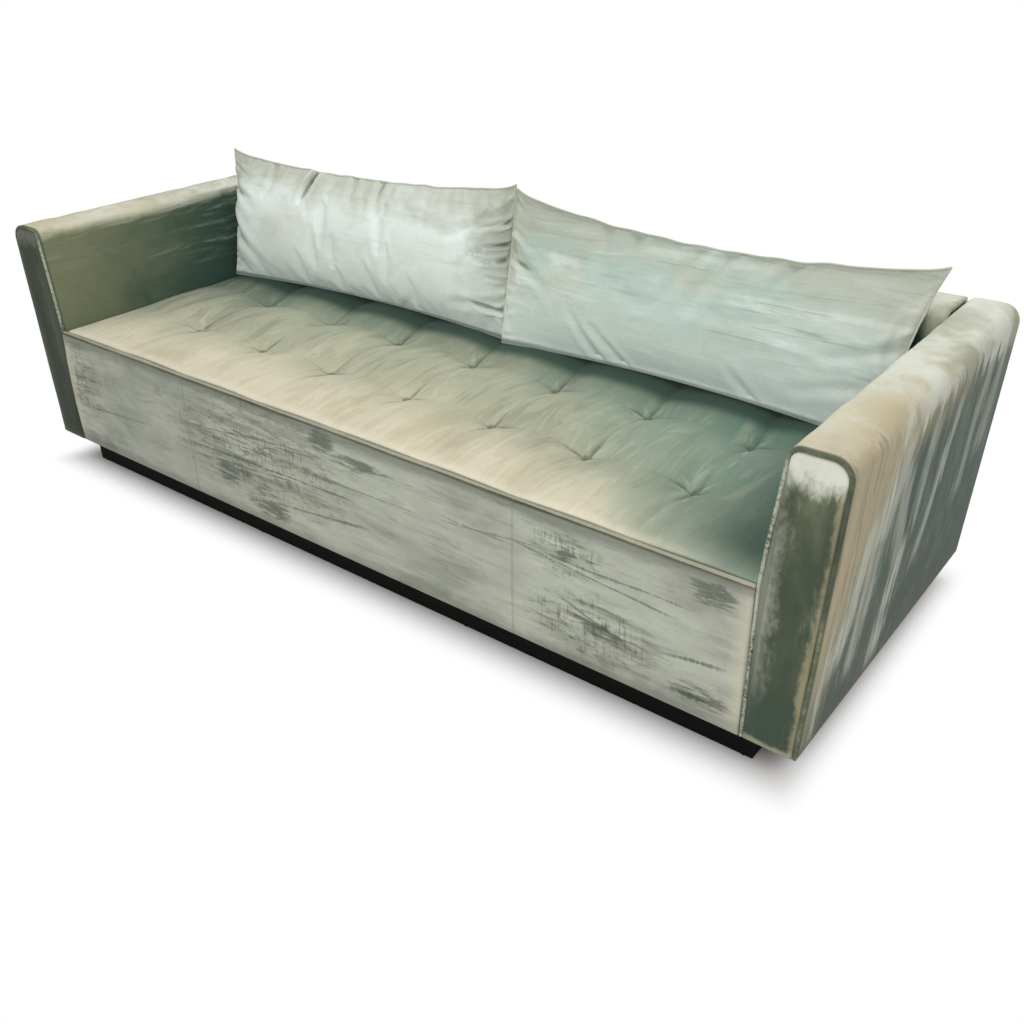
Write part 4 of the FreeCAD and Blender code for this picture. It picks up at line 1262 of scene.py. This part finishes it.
class SOFA_OT_cushions(SofaPiece, bpy.types.Operator):
    """Build the two loose cushions, swollen by a cloth simulation"""

    bl_idname = "sofa.cushions"
    bl_label = "Loose Cushions"

    stations = 150
    rows = 56
    seam_sides = 10
    start_share = 0.92
    most_move = 0.024
    apart = 0.0027
    room = 0.0006
    last_frame = 24
    gather_span = (-0.86, 0.80)
    gather_width = (0.0048, 0.0090)
    fold_swell = 0.5
    fold_swell_at = 1.9
    seam_hold = 0.006
    full_shading_depth = 0.0095
    wave_seeds = {"left": 71, "right": 73}

    def seam_wave(self, along, seed, sizes):
        """Rise and fall along a seam."""
        return smooth_noise(along, 0 * along, seed, 7, 1.0, 3.0) * sizes.cushion_wave

    def panels(self, sizes, side):
        """Front and back panels: a lens between the foot and head seams, thin at both ends.

        The end by the arm leans outward toward its top and draws in between its corners.
        """
        low, high = CUSHION_BOXES[side]
        bottom_forward, top_forward, top_height, lean = CUSHION_FORMS[side]
        plane = BACK_FACE - CUSHION_BACK_GAP - sizes.cushion_thickness / 2
        crown = WELT_TOP - sizes.seat_edge_drop + sizes.biscuit_crown
        t = np.linspace(-1, 1, self.stations)[:, None]
        w = np.linspace(-1, 1, self.rows)[None, :]
        foot_y = plane - through_three(bottom_forward, t)
        head_y = plane - through_three(top_forward, t)
        foot_z = low.z + sizes.cushion_bottom_draw * (1 - t * t)
        seed = self.wave_seeds[side]
        head_z = crown + through_three(top_height, t) + sizes.cushion_ear * np.abs(t) ** 22
        head_z = head_z + self.seam_wave(t * 3.4, seed, sizes) * (1 - t ** 4)
        share = (w + 1) / 2
        y = foot_y + (head_y - foot_y) * share
        z = foot_z + (head_z - foot_z) * share
        tall = np.hypot(head_y - foot_y, head_z - foot_z)
        out_y, out_z = -(head_z - foot_z) / tall, (head_y - foot_y) / tall
        swell = (1 - np.abs(t) ** 4) ** 0.6 * (1 - w * w) ** 0.82
        half = self.start_share * sizes.cushion_thickness / 2 * swell
        by_arm = np.sign(t) == (-1 if side == "left" else 1)
        left, right = (low.x, -self.apart) if side == "left" else (self.apart, high.x)
        drawn = self.seam_wave(w * 1.7, seed + 5, sizes) - sizes.cushion_end_draw
        moved = lean * share ** 3 + drawn * (1 - w * w)
        x = (left + right) / 2 + (right - left) / 2 * t
        x = x + np.sign(t) * np.where(by_arm, np.abs(t) ** 8, 0.0) * moved
        return [points_at(x, y + sign * half * out_y, z + sign * half * out_z) for sign in (1, -1)]

    def envelope(self, front, back):
        """Points and quads of the two panels, which share the points of the seam."""
        index = np.arange(front.shape[0] * front.shape[1]).reshape(front.shape[:2])
        behind = index.copy()
        inner = back[1:-1, 1:-1].reshape(-1, 3)
        behind[1:-1, 1:-1] = index.size + np.arange(len(inner)).reshape(behind[1:-1, 1:-1].shape)
        seam = np.concatenate([index[:-1, 0], index[-1, :-1], index[:0:-1, -1], index[0, :0:-1]])
        faces = np.concatenate([quads(index), quads(behind[::-1])])
        return np.concatenate([front.reshape(-1, 3), inner]), faces, seam

    def swollen(self, front, back):
        """The panels after the cloth is blown up a little while its seam stays where it is."""
        points, faces, seam = self.envelope(front, back)
        cloth = new_object("cushion_cloth", points, faces)
        cloth.vertex_groups.new(name="seam").add(seam.tolist(), 1.0, "REPLACE")
        modifier = cloth.modifiers.new("Cloth", "CLOTH")
        for name, value in CUSHION_CLOTH.items():
            setattr(modifier.settings, name, value)
        modifier.settings.effector_weights.gravity = 0
        modifier.point_cache.frame_start = 1
        modifier.point_cache.frame_end = self.last_frame
        for step in range(1, self.last_frame + 1):
            bpy.context.scene.frame_set(step)
        shown = cloth.evaluated_get(bpy.context.evaluated_depsgraph_get())
        moved = np.empty(len(points) * 3)
        shown.data.vertices.foreach_get("co", moved)
        mesh = cloth.data
        bpy.data.objects.remove(cloth)
        bpy.data.meshes.remove(mesh)
        bpy.context.scene.frame_set(1)
        move = moved.reshape(-1, 3) - points
        far = np.linalg.norm(move, axis=1, keepdims=True)
        points = points + move / (1 + far / self.most_move)
        blown = points[:front.shape[0] * front.shape[1]].reshape(front.shape)
        behind = blown.copy()
        behind[1:-1, 1:-1] = points[blown.size // 3:].reshape(behind[1:-1, 1:-1].shape)
        return blown, behind

    def gathers(self, seed, end, count, most):
        """Short folds that leave an end seam, as rows like those of the fold table."""
        draw = np.random.default_rng(seed)
        at = np.linspace(*self.gather_span, count) + draw.uniform(-0.09, 0.09, count)
        reach = 0.05 + 0.22 * draw.uniform(0, 1, count) ** 2
        slope = at * draw.uniform(0.75, 1.0, count) + draw.uniform(-0.08, 0.08, count)
        width = draw.uniform(*self.gather_width, count)
        depth = most * draw.uniform(0.35, 1.0, count)
        ends = np.full(count, end)
        return list(zip(ends, at, ends * (1 - reach), slope, width, depth))

    def folded(self, panel, outward, folds):
        """Press folds into a panel along its normal: grooves that shallow out from their start,
        with a swell on both sides; also give the values for painted highlight on its swells and painted
        shade in its grooves."""
        t = np.linspace(-1, 1, panel.shape[0])[:, None]
        w = np.linspace(-1, 1, panel.shape[1])[None, :]
        half = np.array([np.ptp(panel[..., 0]), np.ptp(panel[..., 2])]) / 2
        lift = np.zeros(panel.shape[:2])
        for start_t, start_w, end_t, end_w, width, depth in folds:
            start = np.array([start_t, start_w]) * half
            run = np.array([end_t, end_w]) * half - start
            away = np.stack(np.broadcast_arrays(t * half[0] - start[0], w * half[1] - start[1]), -1)
            along = np.clip(away @ run / (run @ run), 0, 1)
            off = np.linalg.norm(away - along[..., None] * run, axis=-1) / width
            swell = self.fold_swell * np.exp(-((off - self.fold_swell_at) ** 2))
            groove = np.exp(-off ** 2) - swell
            lift -= depth * groove * (1 - along) ** 0.8
        to_seam = np.minimum((1 - np.abs(t)) * half[0], (1 - np.abs(w)) * half[1])
        lift = lift * ease(to_seam, 0, self.seam_hold)
        normal = np.cross(np.gradient(panel, axis=0), np.gradient(panel, axis=1)) * outward
        normal /= np.maximum(np.linalg.norm(normal, axis=-1, keepdims=True), 1e-12)
        fold_shading = np.sign(lift) * np.clip(np.abs(lift) / self.full_shading_depth, 0, 1) ** 1.7
        return panel + lift[..., None] * normal, fold_shading

    def settled(self, points, sizes, side):
        """Keep the points off the seat, the face of the back, the arm and the other cushion."""
        x, y, z = points.T
        seat = WELT_TOP - sizes.seat_edge_drop + seat_surface(x, y, sizes) + self.room
        z = np.maximum(z, seat)
        y = np.where(z < BODY_TOP, np.minimum(y, BACK_FACE - self.room), y)
        wall = inner_limit(z, sizes) - self.room
        x = np.clip(x, -wall, -self.apart) if side == "left" else np.clip(x, self.apart, wall)
        return np.stack([x, y, z], -1)

    def execute(self, context):
        sizes = context.scene.sofa_sizes
        for seed, side, left_end, right_end in CUSHION_GATHERS:
            front, back = self.panels(sizes, side)
            front, back = self.swollen(front, back)
            ends = self.gathers(seed, -1.0, *left_end) + self.gathers(seed + 1, 1.0, *right_end)
            front, front_shading = self.folded(refined(front), 1.0, list(CUSHION_FOLDS[side]) + ends)
            ends = self.gathers(seed + 2, -1.0, *left_end) + self.gathers(seed + 3, 1.0, *right_end)
            back, back_shading = self.folded(refined(back), -1.0, ends)
            points, faces, seam = self.envelope(front, back)
            points = self.settled(points, sizes, side)
            finish = velvet(side + "_cushion_velvet", partial(cushion_dyes, side))
            body = side + "_cushion"
            piece = new_piece(side + "_cushion", points, faces.tolist(), finish, body)
            # Fold values for the velvet: painted shade in the grooves, painted highlight on their swells
            store_fold_shading(piece, np.concatenate([front_shading.ravel(), back_shading[1:-1, 1:-1].ravel()]))
            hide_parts(side + "_cushion_cover", side + "_cushion_insert")
            radius = sizes.cushion_seam
            edge = tube(side + "_cushion_seam", points[seam], radius, self.seam_sides, finish, body, True)
        return {"FINISHED"}


FRAME_FINISHES = {
    "dark_stained_wood": [
        "plinth_front_board",
        "plinth_rear_board",
        "plinth_left_board",
        "plinth_right_board",
        "plinth_cross_boards",
        "plinth_blocks",
    ],
    "zinc_steel": ["arm_bolts", "arm_bolt_washers", "plinth_screws", "tufting_washers"],
    "nylon": ["floor_glides"],
    "webbing": ["webbing_front_to_back", "webbing_side_to_side"],
    "felt": ["seat_felt"],
    "foam": ["seat_foam_core"],
    "twine": ["tufting_twine"],
}


class SOFA_OT_frame(SofaPiece, bpy.types.Operator):
    """Finish the frame, plinth and suspension, and stretch the dust cover under them"""

    bl_idname = "sofa.frame"
    bl_label = "Frame Finishes"

    dust_columns = 120
    dust_rows = 44
    dust_wave = 0.3
    dust_wall = 0.4

    def execute(self, context):
        colours = context.scene.sofa_colours
        finishes = {
            "dark_stained_wood": grained("plinth_wood", colours.plinth, 0, 0.55, 0.7),
            "zinc_steel": speckled("zinc_steel", "b9bcc0", 380.0, 0.32, 1.0),
            "nylon": speckled("glide_nylon", "23211f", 260.0, 0.45),
            "webbing": woven("jute_webbing", "8a6f4d", 1300.0, 0.8),
            "felt": speckled("grey_felt", "77736b", 520.0, 0.85),
            "foam": speckled("seat_foam", "e3d8a8", 700.0, 0.8),
            "twine": speckled("waxed_twine", "c9b48a", 900.0, 0.6),
        }
        named = {node: slot for slot, nodes in FRAME_FINISHES.items() for node in nodes}
        timber = grained("frame_timber", colours.timber, 2, 0.7, 0.6)
        for node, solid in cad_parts.items():
            if solid.hide_render:
                continue
            solid.data.materials.clear()
            solid.data.materials.append(finishes[named[node]] if node in named else timber)
        self.dust_cover()
        return {"FINISHED"}

    def dust_cover(self):
        """A thin cloth, nearly flat, tacked up under the rails."""
        x = np.linspace(DUST_LOW.x, DUST_HIGH.x, self.dust_columns)[:, None]
        y = np.linspace(DUST_LOW.y, DUST_HIGH.y, self.dust_rows)[None, :]
        middle = (DUST_LOW.z + DUST_HIGH.z) / 2
        half = (DUST_HIGH.z - DUST_LOW.z) / 2
        wave = middle + smooth_noise(x * 2, y * 2, 61, 7, 1.0, 3.0) * half * self.dust_wave
        lower = points_at(x, y, wave - half * self.dust_wall)
        upper = points_at(x, y, wave + half * self.dust_wall)[:, ::-1]
        finish = woven("black_cambric", "1b1b1c", 2600.0, 0.8)
        piece = loft("dust_cloth", np.concatenate([lower, upper], 1), finish)
        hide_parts("dust_cover")


# The photograph's viewpoint, fitted to the edges of the sofa
CAMERA_PLACE = Vector((1.738, -1.989, 1.515))
CAMERA_AZIMUTH = math.radians(38.04)
CAMERA_ELEVATION = math.radians(29.05)
CAMERA_ROLL = math.radians(-0.69)
CAMERA_LENS = 37.54
CAMERA_SENSOR = 36.0
CAMERA_SHIFT = (-0.0007, -0.0176)

# Square lamps: name, place, target, side in metres and power in watts
LAMPS = (
    ("overhead", (0.3, 0.7, 4.2), (0.0, 0.0, 0.4), 2.4, 76.0),
    ("front", (1.6, -3.9, 2.2), (0.0, -0.2, 0.35), 1.6, 86.0),
)

# The floor's half width, its painted shadow grey under the sofa and its grey beyond it, and the strengths
# of the white background as light and to the eye
FLOOR_REACH = 14.0
FLOOR_SHADOW = (0.2, 0.2, 0.2)
FLOOR_BEYOND = (0.9, 0.9, 0.9)
SKY_LIGHT = 0.45
SKY_SHOWN = 1.0


class SOFA_OT_stage(SofaPiece, bpy.types.Operator):
    """Set the pale floor, the soft lights and the camera"""

    bl_idname = "sofa.stage"
    bl_label = "Stage"

    def execute(self, context):
        self.floor()
        self.world(context.scene)
        for lamp in LAMPS:
            self.lamp(*lamp)
        self.camera(context.scene)
        context.scene.view_settings.view_transform = "Standard"
        return {"FINISHED"}

    def seeing_rays(self, tree):
        """1 for the rays that show the background: to the camera, reflected or let through."""
        kinds = ("Is Camera Ray", "Is Glossy Ray", "Is Transmission Ray")
        camera, glossy, through = [Field(tree).node("ShaderNodeLightPath", {}, {}, kind) for kind in kinds]
        return camera.greater(glossy.greater(through))

    def floor(self):
        """A level sheet, white to the eye, that keeps the sofa's shadow, and adds a painted shadow: its
        colour is darker grey under and near the sofa.
        """
        side = np.linspace(-FLOOR_REACH, FLOOR_REACH, 9)
        points = points_at(side[:, None], side[None, :], 0.0).reshape(-1, 3)
        faces = quads(np.arange(side.size ** 2).reshape(side.size, side.size))
        material, shader, place = surface("studio_floor", {"Roughness": 0.9, "Specular IOR Level": 0.0})
        tree = material.node_tree
        white = Field(tree).node("ShaderNodeEmission", {}, {"Color": (1, 1, 1, 1), "Strength": 1.0})
        x, y, _ = place.axes()
        past_end = (abs(x) - CAD_BOX[1][0]) * 1.3 + 0.05
        beyond = past_end.math("SMOOTH_MAX", abs(y) - CAD_BOX[1][1], 0.08)
        # Painted shadow: the floor's colour is darker grey under and near the sofa
        colour = beyond.ramp(-0.10, -0.02).blend(FLOOR_SHADOW, FLOOR_BEYOND)
        tree.links.new(colour.socket, shader.inputs["Base Color"])
        shown = beyond.ramp(-0.06, 0.07) * self.seeing_rays(tree)
        ends = {0: shown, 1: Field(tree, shader.outputs[0]), 2: white}
        both = Field(tree).node("ShaderNodeMixShader", {}, ends)
        tree.links.new(both.socket, tree.nodes["Material Output"].inputs["Surface"])
        floor = new_object("floor", points, faces, material)

    def world(self, scene):
        """White behind the sofa, and an even soft light on it."""
        world = bpy.data.worlds.new("studio")
        scene.world = world
        world.use_nodes = True
        tree = world.node_tree
        background = tree.nodes["Background"]
        background.inputs["Color"].default_value = (1, 1, 1, 1)
        strength = SKY_LIGHT + self.seeing_rays(tree) * (SKY_SHOWN - SKY_LIGHT)
        tree.links.new(strength.socket, background.inputs["Strength"])

    def lamp(self, name, place, target, size, power):
        """A large square lamp turned to a target."""
        data = bpy.data.lights.new(name, "AREA")
        data.shape = "SQUARE"
        data.size = size
        data.energy = power
        lamp = bpy.data.objects.new(name, data)
        lamp.location = place
        lamp.rotation_euler = (Vector(target) - Vector(place)).to_track_quat("-Z", "Y").to_euler()
        bpy.context.scene.collection.objects.link(lamp)

    def camera(self, scene):
        """A camera at the fitted place, looking down and along the sofa with a slight roll."""
        level, tilt, roll = CAMERA_AZIMUTH, CAMERA_ELEVATION, CAMERA_ROLL
        forward = Vector((-math.sin(level), math.cos(level), 0.0))
        ahead = math.cos(tilt) * forward - Vector((0.0, 0.0, math.sin(tilt)))
        right = Vector((math.cos(level), math.sin(level), 0.0))
        up = right.cross(ahead)
        rolled_right = math.cos(roll) * right + math.sin(roll) * up
        rolled_up = math.cos(roll) * up - math.sin(roll) * right
        turn = Matrix((rolled_right, rolled_up, -ahead)).transposed()
        data = bpy.data.cameras.new("camera")
        data.sensor_width = CAMERA_SENSOR
        data.lens = CAMERA_LENS
        data.shift_x, data.shift_y = CAMERA_SHIFT
        camera = bpy.data.objects.new("camera", data)
        camera.matrix_world = Matrix.Translation(CAMERA_PLACE) @ turn.to_4x4()
        scene.collection.objects.link(camera)
        scene.camera = camera


STEPS = (
    SOFA_OT_seat,
    SOFA_OT_apron,
    SOFA_OT_arms,
    SOFA_OT_back,
    SOFA_OT_cushions,
    SOFA_OT_frame,
    SOFA_OT_stage,
)


class SOFA_PT_panel(bpy.types.Panel):
    """The sofa's steps, sizes and dyes"""

    bl_label = "Three-Seater Sofa"
    bl_idname = "SOFA_PT_panel"
    bl_space_type = "VIEW_3D"
    bl_region_type = "UI"
    bl_category = "Sofa"

    def draw(self, context):
        column = self.layout.column()
        for step in STEPS:
            column.operator(step.bl_idname)
        for group in (context.scene.sofa_sizes, context.scene.sofa_colours):
            for name in group.bl_rna.properties.keys():
                if name not in ("rna_type", "name"):
                    column.prop(group, name)


CLASSES = (SofaSizes, SofaColours, *STEPS, SOFA_PT_panel)


def register():
    """Add the classes, and the sizes and dyes of each scene."""
    for item in CLASSES:
        bpy.utils.register_class(item)
    bpy.types.Scene.sofa_sizes = PointerProperty(type=SofaSizes)
    bpy.types.Scene.sofa_colours = PointerProperty(type=SofaColours)


def unregister():
    """Take away what register added."""
    del bpy.types.Scene.sofa_colours
    del bpy.types.Scene.sofa_sizes
    for item in reversed(CLASSES):
        bpy.utils.unregister_class(item)


def main():
    """Build every piece in order."""
    register()
    bpy.ops.sofa.seat()
    bpy.ops.sofa.apron()
    bpy.ops.sofa.arms()
    bpy.ops.sofa.back()
    bpy.ops.sofa.cushions()
    bpy.ops.sofa.frame()
    bpy.ops.sofa.stage()


if __name__ == "__main__":
    main()
